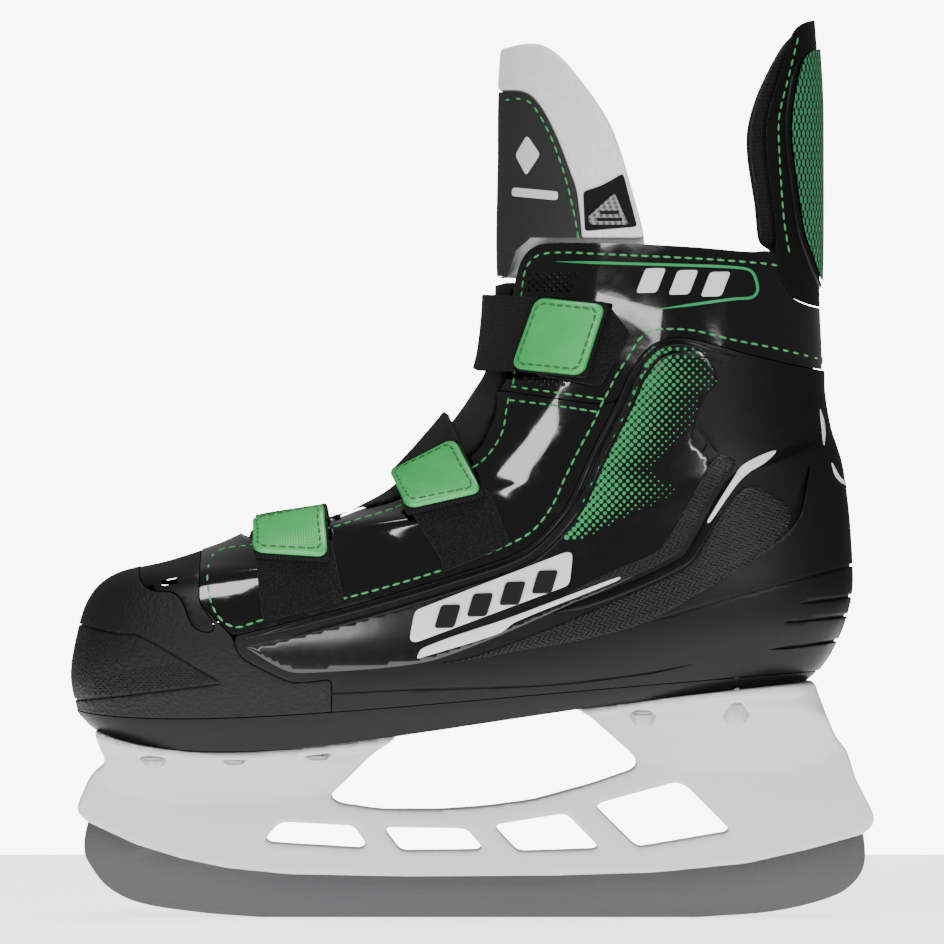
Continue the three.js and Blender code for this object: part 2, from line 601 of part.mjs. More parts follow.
const runnerOutline = pattern(
  [-105, 28], [-106.4, 22], [-106.4, 17.4], [-105.4, 15.2], [-100.5, 8.7], [-92.1, 4.2], [-75.5, 1.4],
  [-58.6, 0], [62.7, 0], [83.9, 1.8], [100.5, 6.3], [106.3, 11.2], [108, 16.3], [107.4, 24]
);
const runnerTop = pattern([94, 26.5], [60, 20], [20, 17], [-50, 17], [-78, 22.6], [-96, 28.6]);
const lug = ([, x, top]) => [
  new THREE.Vector2(x - lugFoot / 2, 17 * gradeZ), new THREE.Vector2(x + lugFoot / 2, 17 * gradeZ),
  new THREE.Vector2(x + lugTop / 2, top), new THREE.Vector2(x - lugTop / 2, top),
];
const runnerSide = [...runnerOutline, ...runnerTop];
const half = runnerWidth / 2;
const tee = ([, x, top]) => {
  const seat = top - studSeat;
  const head = studHead / 2 + gap;
  const shank = studShank / 2 + gap;
  const slot = box(x - head, x + head, -webHalf, webHalf, seat - studHeadHeight - gap, seat + gap);
  return slot.add(box(x - shank, x + shank, -webHalf, webHalf, seat, top + studSeat));
};
const runnerLugs = studPlaces.map((place) => prism(lug(place), -half, half));
const runner = wasm.Manifold.union([prism(runnerSide, -half, half), ...runnerLugs])
  .subtract(wasm.Manifold.union(studPlaces.map(tee)));
add("steel_runner", runner, 0x7d7d7d, 0.32, 0.9);
const groove = wasm.Manifold.union([
  prism(inset(runnerSide, -gap), -half - gap, half + gap),
  ...studPlaces.map((place) => prism(inset(lug(place), -gap), -half - gap, half + gap)),
  ...studPlaces.map(([, x, top]) => bar(x, 0, 0, top + 0.6, studHead + 2 * gap, 8)),
]);
const seatOf = (x) => {
  const lowest = Math.min(soleHeight(x - rivetHead / 2), soleHeight(x + rivetHead / 2));
  return lowest - gap - flangeWall;
};
const pockets = wasm.Manifold.union(
  rivetPlaces.map(([, x, y]) => bar(x, y, 0, seatOf(x), rivetHead + headPlay, 8))
);
const holder = wasm.Manifold.union([web, frontTower, rearTower, flanges])
  .intersect(holderSide)
  .subtract(soleBlock)
  .subtract(wasm.Manifold.union(windows.map((outline) => prism(outline, -webHalf * 2, webHalf * 2))))
  .subtract(groove)
  .subtract(pockets)
  .subtract(holes);
add("blade_holder", holder, 0xf3f3f3, 0.32);

const turned = (profile, x, y) => {
  const geometry = new THREE.LatheGeometry(profile.map(([r, z]) => new THREE.Vector2(r, z)), 8);
  geometry.rotateX(Math.PI / 2);
  geometry.translate(x, y, 0);
  return solidOf(geometry);
};
rivetPlaces.forEach(([name, x, y]) => {
  const low = seatOf(x) - gap;
  const top = Math.max(boardTopAt(x - rivetHead / 2), boardTopAt(x + rivetHead / 2)) + gap;
  const shank = rivetShank / 2;
  const head = rivetHead / 2;
  const profile = [
    [0, low - rivetHeadHeight], [head * 0.7, low - rivetHeadHeight], [head, low], [shank, low], [shank, top],
    [head * 0.9, top], [head * 0.55, top + rivetHeadHeight * 0.8], [0, top + rivetHeadHeight * 0.8],
  ];
  add(name, turned(profile, x, y), 0xa9abad, 0.35, 0.9);
});
studPlaces.forEach(([name, x, top]) => {
  const seat = top - studSeat;
  const foot = seat - studHeadHeight;
  const boardTop = boardTopAt(x + nutAcross / 2) + gap;
  const profile = [
    [0, foot], [studHead / 2, foot], [studHead / 2, seat], [studShank / 2, seat],
    [studShank / 2, boardTop + nutHeight + studEnd], [0, boardTop + nutHeight + studEnd],
  ];
  add(`runner_stud_${name}`, turned(profile, x, 0), 0x9c9fa2, 0.35, 0.9);
  const nut = bar(x, 0, boardTop, boardTop + nutHeight, nutCorner, 6)
    .subtract(bar(x, 0, 0, 120 * gradeZ, studShank + 2 * gap, 12));
  add(`runner_nut_${name}`, nut, 0x9c9fa2, 0.35, 0.9);
});

export default skate;
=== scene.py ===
import math

import bmesh
import bpy
import numpy as np
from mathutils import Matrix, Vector, geometry, kdtree


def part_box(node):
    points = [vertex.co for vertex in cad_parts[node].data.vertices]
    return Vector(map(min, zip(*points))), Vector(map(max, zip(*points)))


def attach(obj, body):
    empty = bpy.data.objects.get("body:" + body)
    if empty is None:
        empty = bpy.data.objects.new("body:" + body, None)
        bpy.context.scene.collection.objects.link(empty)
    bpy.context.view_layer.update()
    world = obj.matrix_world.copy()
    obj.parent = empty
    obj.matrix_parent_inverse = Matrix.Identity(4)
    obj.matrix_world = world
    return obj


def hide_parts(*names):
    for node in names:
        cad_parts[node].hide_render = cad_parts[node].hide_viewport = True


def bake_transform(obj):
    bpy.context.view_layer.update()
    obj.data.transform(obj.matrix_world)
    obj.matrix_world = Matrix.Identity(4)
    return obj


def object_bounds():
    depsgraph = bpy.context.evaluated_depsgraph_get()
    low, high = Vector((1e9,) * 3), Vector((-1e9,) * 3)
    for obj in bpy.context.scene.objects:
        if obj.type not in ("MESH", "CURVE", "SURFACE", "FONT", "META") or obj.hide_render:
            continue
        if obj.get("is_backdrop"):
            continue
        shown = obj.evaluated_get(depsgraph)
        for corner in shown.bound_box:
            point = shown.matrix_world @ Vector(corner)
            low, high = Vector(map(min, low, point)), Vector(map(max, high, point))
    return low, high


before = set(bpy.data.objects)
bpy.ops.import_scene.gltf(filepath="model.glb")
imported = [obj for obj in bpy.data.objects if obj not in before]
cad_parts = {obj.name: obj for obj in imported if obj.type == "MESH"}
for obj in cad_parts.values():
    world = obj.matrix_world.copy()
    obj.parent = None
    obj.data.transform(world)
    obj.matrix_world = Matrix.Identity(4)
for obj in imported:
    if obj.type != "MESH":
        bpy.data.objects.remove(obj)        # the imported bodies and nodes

cadBox = [list(corner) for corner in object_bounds()]
mm = 0.001               # every size below is in millimetres, every mesh in metres
gap = 0.3                # air between pieces
upperWall = 2.0
shellProud = 0.8
liningTop = -upperWall - gap
both = (-1, 1)           # outer side first, then inner

# The last: front point x, z; back point x, z; dip of the sole line; half width at ball, waist and heel
last = {
    "rows": [
        [-108.6, 57.3, 94.5, 68.0, 3.4, 36.5, 31.5, 27.5],
        [-110.3, 66.0, 98.0, 73.0, 2.8, 38.2, 33.0, 29.5],
        [-109.0, 76.0, 101.6, 81.0, 2.0, 39.2, 33.5, 31.3],
        [-105.4, 87.5, 103.7, 90.0, 1.0, 38.7, 33.3, 31.5],
        [-98.0, 94.3, 103.7, 98.0, 0.4, 37.6, 32.8, 31.0],
        [-83.0, 98.2, 103.3, 105.0, 0.0, 36.0, 32.3, 30.2],
        [-70.0, 102.5, 102.8, 111.0, 0.0, 34.5, 31.8, 29.6],
        [-59.0, 106.8, 102.1, 117.0, 0.0, 33.5, 31.2, 29.2],
        [-39.0, 110.2, 100.9, 124.5, 0.0, 32.4, 30.6, 28.6],
        [-30.0, 113.5, 99.4, 129.5, 0.0, 31.5, 30.2, 28.2],
        [-20.5, 119.5, 97.8, 134.5, 0.0, 30.5, 29.7, 27.8],
        [-7.2, 134.0, 96.3, 143.0, 0.0, 29.2, 29.2, 27.3],
        [0.4, 144.5, 96.0, 150.0, 0.0, 28.7, 29.0, 27.2],
        [4.2, 152.0, 96.0, 156.0, 0.0, 28.4, 29.0, 27.2],
        [6.2, 168.0, 95.4, 170.0, 0.0, 28.2, 29.3, 27.4],
        [6.0, 186.0, 95.6, 186.0, 0.0, 29.0, 30.6, 28.4],
        [6.4, 206.0, 95.6, 206.0, 0.0, 29.4, 31.2, 28.8],
        [6.6, 226.0, 95.4, 226.0, 0.0, 29.2, 31.0, 28.6],
        [8.0, 247.2, 94.0, 247.2, 0.0, 28.0, 29.6, 27.6],
    ],
    "footRoundness": 2.4,
    "cuffRoundness": 2.1,
    "cuffLevel": 13,
    "toeSwing": 3.0,
    "splits": 8,
    "columns": 240,
}
rows = np.array(last["rows"])
topLevel = len(rows) - 1


def rowAt(level):        # smooth through the rows
    low = np.clip(np.floor(level).astype(int), 0, topLevel - 1)
    t = (level - low)[..., None]
    before, start = rows[np.maximum(low - 1, 0)], rows[low]
    end, after = rows[low + 1], rows[np.minimum(low + 2, topLevel)]
    leave, arrive = (end - before) / 2, (after - start) / 2
    return ((2 * t**3 - 3 * t**2 + 1) * start + (t**3 - 2 * t**2 + t) * leave
            + (3 * t**2 - 2 * t**3) * end + (t**3 - t**2) * arrive)


def widthAlong(s, ball, waist, heel):
    slope = (waist - ball) / 0.3
    bend = ((heel - waist) / 0.28 - slope) / 0.58
    return ball + (s - 0.28) * slope + (s - 0.28) * (s - 0.58) * bend


def dipShape(s):
    return np.sin(math.pi * np.sqrt(np.clip(s, 0, 1))).clip(0) ** 1.6


def lastPoints(level, turn):
    level, turn = np.broadcast_arrays(np.asarray(level, float), np.asarray(turn, float))
    frontX, frontZ, backX, backZ, dip, ball, waist, heel = np.moveaxis(rowAt(level), -1, 0)
    cosine = np.cos(2 * math.pi * turn)
    s = (1 - cosine) / 2
    blend = np.clip(level / last["cuffLevel"], 0, 1)
    power = last["footRoundness"] + (last["cuffRoundness"] - last["footRoundness"]) * blend
    rounded = np.maximum(0, 1 - np.abs(cosine) ** power) ** (1 / power)
    side = np.where(turn % 1 < 0.5, 1, -1)
    swing = last["toeSwing"] * np.maximum(0, 1 - s / 0.3) ** 2
    y = side * widthAlong(s, ball, waist, heel) * rounded + swing
    return np.stack([frontX + (backX - frontX) * s, y, frontZ + (backZ - frontZ) * s - dip * dipShape(s)],
                    -1)


def layerNormals(level, turn):
    level, turn = np.broadcast_arrays(np.asarray(level, float), np.asarray(turn, float))
    around = lastPoints(level, turn + 0.003) - lastPoints(level, turn - 0.003)
    up = lastPoints(np.minimum(level + 0.2, topLevel), turn) - lastPoints(np.maximum(level - 0.2, 0), turn)
    normal = np.cross(up, around)
    normal[..., 2] *= np.clip(level * 2, 0, 1)       # the sole edge stays at its height
    return normal / np.maximum(np.linalg.norm(normal, axis=-1, keepdims=True), 1e-9)


def layerPoints(level, turn, offset):
    offset = np.asarray(offset, float)
    return lastPoints(level, turn) + layerNormals(level, turn) * offset[..., None]


# ---- outlines in the side view, as (x, z) ----
def smoothRun(points, step=1.2):
    points = np.array(points, float)
    if len(points) < 3:
        count = max(2, int(np.linalg.norm(points[-1] - points[0]) / step) + 1)
        return np.linspace(points[0], points[-1], count)
    out = []
    for i in range(len(points) - 1):
        start, end = points[i], points[i + 1]
        before = points[i - 1] if i else start
        after = points[i + 2] if i + 2 < len(points) else end
        size = np.linalg.norm(end - start)
        leave = (end - before) * size / (size + np.linalg.norm(start - before))
        arrive = (after - start) * size / (size + np.linalg.norm(after - end))
        count = max(1, int(round(size / step)))
        for t in np.arange(count) / count:
            out.append((2 * t**3 - 3 * t**2 + 1) * start + (t**3 - 2 * t**2 + t) * leave
                       + (3 * t**2 - 2 * t**3) * end + (t**3 - t**2) * arrive)
    out.append(points[-1])
    return np.array(out)


def evenly(points, step, closed=False):
    points = np.array(points, float)
    if closed:
        points = np.vstack([points, points[:1]])
    lengths = np.linalg.norm(np.diff(points, axis=0), axis=1)
    along = np.concatenate([[0], np.cumsum(lengths)])
    count = max(4, int(round(along[-1] / step)))
    places = np.linspace(0, along[-1], count + 1)
    if closed:
        places = places[:-1]
    return np.stack([np.interp(places, along, points[:, k]) for k in range(points.shape[1])], -1)


def outline(*runs, step=1.2, rounding=2):
    points = np.vstack([smoothRun(run, step) for run in runs])
    points = evenly(points, step, closed=True)
    for _ in range(rounding):
        points = (np.roll(points, 1, 0) + 2 * points + np.roll(points, -1, 0)) / 4
    return points


def softened(points, rounding=2, step=0.9):              # straight sides with eased corners
    loop = list(points) + [points[0]]
    return outline(*[loop[i:i + 2] for i in range(len(loop) - 1)], step=step, rounding=rounding)


def polygonArea(points):
    x, z = points[:, 0], points[:, 1]
    return 0.5 * np.sum(x * np.roll(z, -1) - np.roll(x, -1) * z)


def inset(points, distance):
    ahead, behind = np.roll(points, -1, 0), np.roll(points, 1, 0)
    along = ahead - behind
    along /= np.maximum(np.linalg.norm(along, axis=1, keepdims=True), 1e-9)
    inward = np.stack([-along[:, 1], along[:, 0]], -1) * (1 if polygonArea(points) > 0 else -1)
    return points + inward * distance


def ribbon(points, width, step=1.0, taper=0.0):
    path = evenly(smoothRun(points, step), step)
    along = np.gradient(path, axis=0)
    along /= np.linalg.norm(along, axis=1, keepdims=True)
    across = np.stack([-along[:, 1], along[:, 0]], -1)
    share = np.linspace(0, 1, len(path))
    ends = np.minimum(1, np.minimum(share, 1 - share) / max(taper, 1e-6)) if taper else np.ones(len(path))
    half = (width / 2 * (0.15 + 0.85 * ends))[:, None]
    return np.vstack([path + across * half, (path - across * half)[::-1]])


# ---- meshes ----
def newObject(name, points, faces):
    mesh = bpy.data.meshes.new(name)
    mesh.from_pydata([Vector(p) * mm for p in points], [], faces)
    mesh.validate()
    thing = bpy.data.objects.new(name, mesh)
    bpy.context.scene.collection.objects.link(thing)
    return thing


def turnOut(thing):      # faces of a closed mesh point outwards
    work = bmesh.new()
    work.from_mesh(thing.data)
    bmesh.ops.recalc_face_normals(work, faces=work.faces)
    work.to_mesh(thing.data)
    work.free()
    return thing


def applyModifiers(thing):
    mesh = bpy.data.meshes.new_from_object(thing.evaluated_get(bpy.context.evaluated_depsgraph_get()))
    thing.modifiers.clear()
    old = thing.data
    thing.data = mesh
    bpy.data.meshes.remove(old)
    return thing


def combine(target, tool, operation, keepTool=False):
    cut = target.modifiers.new("cut", "BOOLEAN")
    cut.solver = "MANIFOLD"
    cut.operation = operation
    cut.object = tool
    applyModifiers(target)
    if not keepTool:
        bpy.data.objects.remove(tool)
    return target


def loft(name, rings):   # rings of equal count, closed along the middle at both ends
    rings = [np.array(ring) for ring in rings]
    count = len(rings[0])
    points = np.vstack(rings)
    faces = []
    for i in range(len(rings) - 1):
        for j in range(count):
            a, b = i * count + j, i * count + (j + 1) % count
            faces.append((a, a + count, b + count, b))
    for base in (0, (len(rings) - 1) * count):
        for j in range(count // 2):
            corners = [base + j, base + j + 1, base + (count - j - 1) % count, base + (count - j) % count]
            faces.append(tuple(dict.fromkeys(corners)))
    return turnOut(newObject(name, points, faces))


fineLevels = np.linspace(0, topLevel, topLevel * last["splits"] + 1)
fineTurns = np.arange(last["columns"]) / last["columns"]


def form(offset, openEnds=False):
    grid = layerPoints(fineLevels[:, None], fineTurns[None, :],
                       np.full((len(fineLevels), last["columns"]), offset))
    rings = list(grid)
    if openEnds:
        rings[0] = rings[0] - [0, 0, 12]
        rings[-1] = rings[-1] + [0, 0, 12]
    return loft("form", rings)


layers = {}


def layer(outer, inner):
    key = (round(outer, 3), round(inner, 3))
    if key not in layers:
        wall = combine(form(outer), form(inner, True), "DIFFERENCE")
        layers[key] = wall.data
        wall.data = wall.data.copy()
        bpy.data.objects.remove(wall)
    thing = bpy.data.objects.new("layer", layers[key].copy())
    bpy.context.scene.collection.objects.link(thing)
    return thing


def prism(points, near=-80, far=80):
    count = len(points)
    corners = [(x, y, z) for y in (near, far) for x, z in points]
    faces = [tuple(range(count)), tuple(range(2 * count - 1, count - 1, -1))]
    faces += [(i, i + count, (i + 1) % count + count, (i + 1) % count) for i in range(count)]
    return turnOut(newObject("prism", corners, faces))


def shellPiece(name, outer, inner, points, clearance=gap / 2):
    thing = combine(layer(outer, inner), prism(inset(points, clearance)), "INTERSECT")
    thing.name = name
    return thing


def cleaned(thing, distance=0.06):
    work = bmesh.new()
    work.from_mesh(thing.data)
    bmesh.ops.remove_doubles(work, verts=work.verts, dist=distance * mm)
    bmesh.ops.dissolve_degenerate(work, edges=work.edges, dist=distance * mm)
    work.to_mesh(thing.data)
    work.free()
    return thing


def softEdges(thing, width=0.35, segments=2, angle=38):
    cleaned(thing)
    bevel = thing.modifiers.new("edges", "BEVEL")
    bevel.width = width * mm
    bevel.segments = segments
    bevel.limit_method = "ANGLE"
    bevel.angle_limit = math.radians(angle)
    bevel.use_clamp_overlap = True
    applyModifiers(thing)
    return thing


def plump(thing, voxel, rounds, factor=0.5):     # one soft skin with rounded edges
    remesh = thing.modifiers.new("skin", "REMESH")
    remesh.mode = "VOXEL"
    remesh.voxel_size = voxel * mm
    smooth = thing.modifiers.new("round", "SMOOTH")
    smooth.factor = factor
    smooth.iterations = rounds
    applyModifiers(thing)
    return thing


# soft pieces turn between these two points
bends = {"tongue_top": ((0.0055, 0, 0.1758), (0.0055, 0, 0.202))}


def place(thing, body, material, nodes=(), crease=40):
    thing.data.materials.clear()
    thing.data.materials.append(material)
    thing.data.shade_smooth()
    if crease:
        thing.data.set_sharp_from_angle(angle=math.radians(crease))
    if body in bends:
        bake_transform(thing)
    else:
        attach(thing, body)
    if nodes:
        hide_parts(*nodes)
    return thing


# ---- places on the sides of the last ----
class Side:              # finds the point of a layer that lies at x, z on one side
    def __init__(self, side):
        self.side = side
        turns = np.linspace(0.004, 0.496, 150)
        self.turns = turns if side > 0 else 1 - turns
        self.levels = np.linspace(0, topLevel, topLevel * 6 + 1)
        self.grid = lastPoints(self.levels[:, None], self.turns[None, :])
        self.tree = kdtree.KDTree(self.grid.shape[0] * self.grid.shape[1])
        for i, point in enumerate(self.grid.reshape(-1, 3)):
            self.tree.insert((point[0], 0, point[2]), i)
        self.tree.balance()

    def find(self, points, offset=0.0):
        points = np.asarray(points, float)
        nearest = np.array([self.tree.find((x, 0, z))[1] for x, z in points])
        level = self.levels[nearest // len(self.turns)].copy()
        turn = self.turns[nearest % len(self.turns)].copy()
        offsets = np.broadcast_to(np.asarray(offset, float), level.shape)
        for _ in range(7):
            here = layerPoints(level, turn, offsets)[:, [0, 2]]
            byLevel = (layerPoints(level + 0.01, turn, offsets)[:, [0, 2]] - here) / 0.01
            byTurn = (layerPoints(level, turn + 0.0004, offsets)[:, [0, 2]] - here) / 0.0004
            miss = points - here
            size = byLevel[:, 0] * byTurn[:, 1] - byLevel[:, 1] * byTurn[:, 0]
            size = np.where(np.abs(size) < 1e-6, 1e-6, size)
            stepLevel = (miss[:, 0] * byTurn[:, 1] - miss[:, 1] * byTurn[:, 0]) / size
            stepTurn = (byLevel[:, 0] * miss[:, 1] - byLevel[:, 1] * miss[:, 0]) / size
            level = np.clip(level + np.clip(stepLevel, -0.4, 0.4), 0, topLevel - 0.02)
            low, high = (0.001, 0.499) if self.side > 0 else (0.501, 0.999)
            turn = np.clip(turn + np.clip(stepTurn, -0.02, 0.02), low, high)
        return level, turn

    def __call__(self, points, heights):
        level, turn = self.find(points, 0.0)
        return layerPoints(level, turn, np.broadcast_to(np.asarray(heights, float), level.shape))


sides = {side: Side(side) for side in both}


def patch(name, loops, mapper, base, top, rim=0.3, spacing=1.6, rise=None):
    # closed plate over one or more loops (outer first, then holes) laid on a surface by mapper
    rings, edges, start = [], [], 0
    for k, loop in enumerate(loops):
        inward = 1 if k == 0 else -1
        rings.append([loop, inset(loop, inward * rim * 0.3), inset(loop, inward * rim)])
        count = len(loop)
        edges += [(start + i, start + (i + 1) % count) for i in range(count)]
        start += count
    inner = np.vstack([ring[2] for ring in rings])
    low, high = inner.min(0), inner.max(0)
    spots = [(x + (r % 2) * spacing / 2, z)
             for r, z in enumerate(np.arange(low[1], high[1], spacing * 0.87))
             for x in np.arange(low[0], high[0], spacing)]
    borders = kdtree.KDTree(len(inner))
    for i, point in enumerate(inner):
        borders.insert((point[0], point[1], 0), i)
    borders.balance()
    spots = [s for s in spots if borders.find((s[0], s[1], 0))[2] > spacing * 0.62]
    flat = [Vector(p) for p in np.vstack([inner, spots])] if spots else [Vector(p) for p in inner]
    found = geometry.delaunay_2d_cdt(flat, edges, [], 1, 1e-5)
    corners, triangles, origins = np.array([list(v) for v in found[0]]), found[2], found[3]
    if len(loops) > 1:
        triangles = [t for t in triangles
                     if not inHole(corners[list(t)].mean(0), [r[2] for r in rings[1:]])]
    index = {}
    for new, olds in enumerate(origins):
        for old in olds:
            index[old] = new
    lift = rise(corners) if rise else np.zeros(len(corners))
    points = [mapper(corners, top + lift), mapper(corners, np.full(len(corners), base))]
    flatPlaces = [corners, corners]
    total = len(corners)
    faces = [tuple(t) for t in triangles] + [tuple(i + total for i in reversed(t)) for t in triangles]
    offset, start = 2 * total, 0
    for ring in rings:
        count = len(ring[0])
        points += [mapper(ring[0], np.full(count, base)), mapper(ring[0], np.full(count, top - rim)),
                   mapper(ring[1], np.full(count, top - rim * 0.3))]
        flatPlaces += [ring[0], ring[0], ring[1]]
        a, b, c = offset, offset + count, offset + 2 * count
        for i in range(count):
            j = (i + 1) % count
            d, e = index[start + i], index[start + j]
            faces += [(a + i, a + j, b + j, b + i), (b + i, b + j, c + j, c + i), (c + i, c + j, e, d),
                      (d + total, e + total, a + j, a + i)]
        offset += 3 * count
        start += count
    thing = turnOut(newObject(name, np.vstack(points), faces))
    corners = np.vstack(flatPlaces)[[loop.vertex_index for loop in thing.data.loops]] * mm
    thing.data.uv_layers.new(name="flat").data.foreach_set("uv", corners.astype(np.float32).ravel())
    return thing


def inHole(point, loops):
    for loop in loops:
        inside = False
        for (x0, z0), (x1, z1) in zip(loop, np.roll(loop, -1, 0)):
            crosses = (z0 > point[1]) != (z1 > point[1])
            if crosses and point[0] < (x1 - x0) * (point[1] - z0) / (z1 - z0) + x0:
                inside = not inside
        if inside:
            return True
    return False


def join(name, things):
    work = bmesh.new()
    for thing in things:
        work.from_mesh(thing.data)
        bpy.data.objects.remove(thing)
    mesh = bpy.data.meshes.new(name)
    work.to_mesh(mesh)
    work.free()
    joined = bpy.data.objects.new(name, mesh)
    bpy.context.scene.collection.objects.link(joined)
    return joined


def bothSides(name, points, base, top, rim=0.3, spacing=1.6):
    return join(name, [patch(name, [points], sides[s], base, top, rim, spacing) for s in both])
print("tools ready")


# ---- strap surfaces: a band wraps from the outer side over the front to the inner side ----
class Band:
    def __init__(self, edges, ends, height, columns=120, across=13):
        # edges: two lines in the side view; ends: a line across the band and its side, for each end
        self.v = np.linspace(0, 1, across)
        turns = np.linspace(-0.24, 0.24, 181)
        low, high = np.zeros((across, len(turns))), np.full((across, len(turns)), topLevel - 0.01)
        lines = [(1 - v) * np.array(edges[0]) + v * np.array(edges[1]) for v in self.v]
        turnGrid = np.broadcast_to(turns, low.shape)
        for _ in range(26):
            middle = (low + high) / 2
            spots = layerPoints(middle, turnGrid, np.full(low.shape, height))[..., [0, 2]]
            beyond = np.stack([signedDistance(spots[k], lines[k]) for k in range(across)]) > 0
            low, high = np.where(beyond, low, middle), np.where(beyond, middle, high)
        level = (low + high) / 2
        points = layerPoints(level, turnGrid, np.full(low.shape, height))
        self.level, self.turn = np.zeros((across, columns)), np.zeros((across, columns))
        self.length = np.zeros(across)
        for k in range(across):
            start, end = [crossing(signedDistance(points[k][:, [0, 2]], line), turns, side) for line,
                          side in ends]
            fine = np.linspace(start, end, 400)
            fineLevel = np.interp(fine, turns, level[k])
            path = layerPoints(fineLevel, fine, np.full(len(fine), height))
            along = np.concatenate([[0], np.cumsum(np.linalg.norm(np.diff(path, axis=0), axis=1))])
            places = np.linspace(0, along[-1], columns)
            self.turn[k] = np.interp(places, along, fine)
            self.level[k] = np.interp(places, along, fineLevel)
            self.length[k] = along[-1]
        self.width = float(np.linalg.norm(lastPoints(self.level[0], self.turn[0])[columns // 2]
                                          - lastPoints(self.level[-1], self.turn[-1])[columns // 2]))
        self.reach = float(self.length.mean())

    def at(self, uv):    # u in millimetres from the outer end, v in millimetres across
        u = np.clip(uv[:, 0] / self.reach, 0, 1) * (self.level.shape[1] - 1)
        v = np.clip(uv[:, 1] / self.width, 0, 1) * (self.level.shape[0] - 1)
        i, j = np.minimum(v.astype(int), self.level.shape[0] - 2), np.minimum(u.astype(int),
                                                                              self.level.shape[1] - 2)
        fv, fu = v - i, u - j

        def mixed(table):
            return ((1 - fv) * ((1 - fu) * table[i, j] + fu * table[i, j + 1])
                    + fv * ((1 - fu) * table[i + 1, j] + fu * table[i + 1, j + 1]))
        return mixed(self.level), mixed(self.turn)

    def __call__(self, uv, heights):
        uv = np.asarray(uv, float)
        level, turn = self.at(uv)
        return layerPoints(level, turn % 1, np.broadcast_to(np.asarray(heights, float), level.shape))


def signedDistance(points, line):
    line = np.asarray(line, float)
    best, signed = np.full(len(points), 1e9), np.zeros(len(points))
    for k in range(len(line) - 1):
        start, along = line[k], line[k + 1] - line[k]
        size = np.linalg.norm(along)
        along = along / size
        away = points - start
        t = away @ along
        lowEnd = -1e9 if k == 0 else 0
        highEnd = 1e9 if k == len(line) - 2 else size
        gapTo = np.linalg.norm(away - np.clip(t, lowEnd, highEnd)[:, None] * along, axis=1)
        cross = along[0] * away[:, 1] - along[1] * away[:, 0]
        closer = gapTo < best
        best = np.where(closer, gapTo, best)
        signed = np.where(closer, np.sign(cross) * gapTo, signed)
    return signed


def crossing(values, places, side):
    middle = len(places) // 2
    span = range(middle, len(places) - 1) if side > 0 else range(middle - 1, -1, -1)
    hits = [i for i in span if values[i] * values[i + 1] <= 0]
    if not hits:
        return places[-1] if side > 0 else places[0]
    i = hits[0]
    share = values[i] / (values[i] - values[i + 1]) if values[i] != values[i + 1] else 0
    return places[i] + share * (places[i + 1] - places[i])


# ---- finishes ----
class Wire:              # a socket that adds, multiplies and compares by making Math nodes
    def __init__(self, finish, socket):
        self.finish, self.socket = finish, socket

    def maths(self, operation, *others):
        return self.finish.node("ShaderNodeMath", {"operation": operation},
                                dict(enumerate((self, *others))))

    def __add__(self, other): return self.maths("ADD", other)
    def __radd__(self, other): return self.maths("ADD", other)
    def __sub__(self, other): return self.maths("SUBTRACT", other)
    def __rsub__(self, other): return self.finish.node("ShaderNodeMath", {"operation": "SUBTRACT"},
                                                       {0: other, 1: self})
    def __mul__(self, other): return self.maths("MULTIPLY", other)
    def __rmul__(self, other): return self.maths("MULTIPLY", other)
    def __truediv__(self, other): return self.maths("DIVIDE", other)
    def __gt__(self, other): return self.maths("GREATER_THAN", other)
    def __lt__(self, other): return self.maths("LESS_THAN", other)
    def wave(self): return self.maths("SINE")
    def part(self): return self.maths("FRACT")
    def size(self): return self.maths("ABSOLUTE")
    def whole(self): return self.maths("FLOOR")


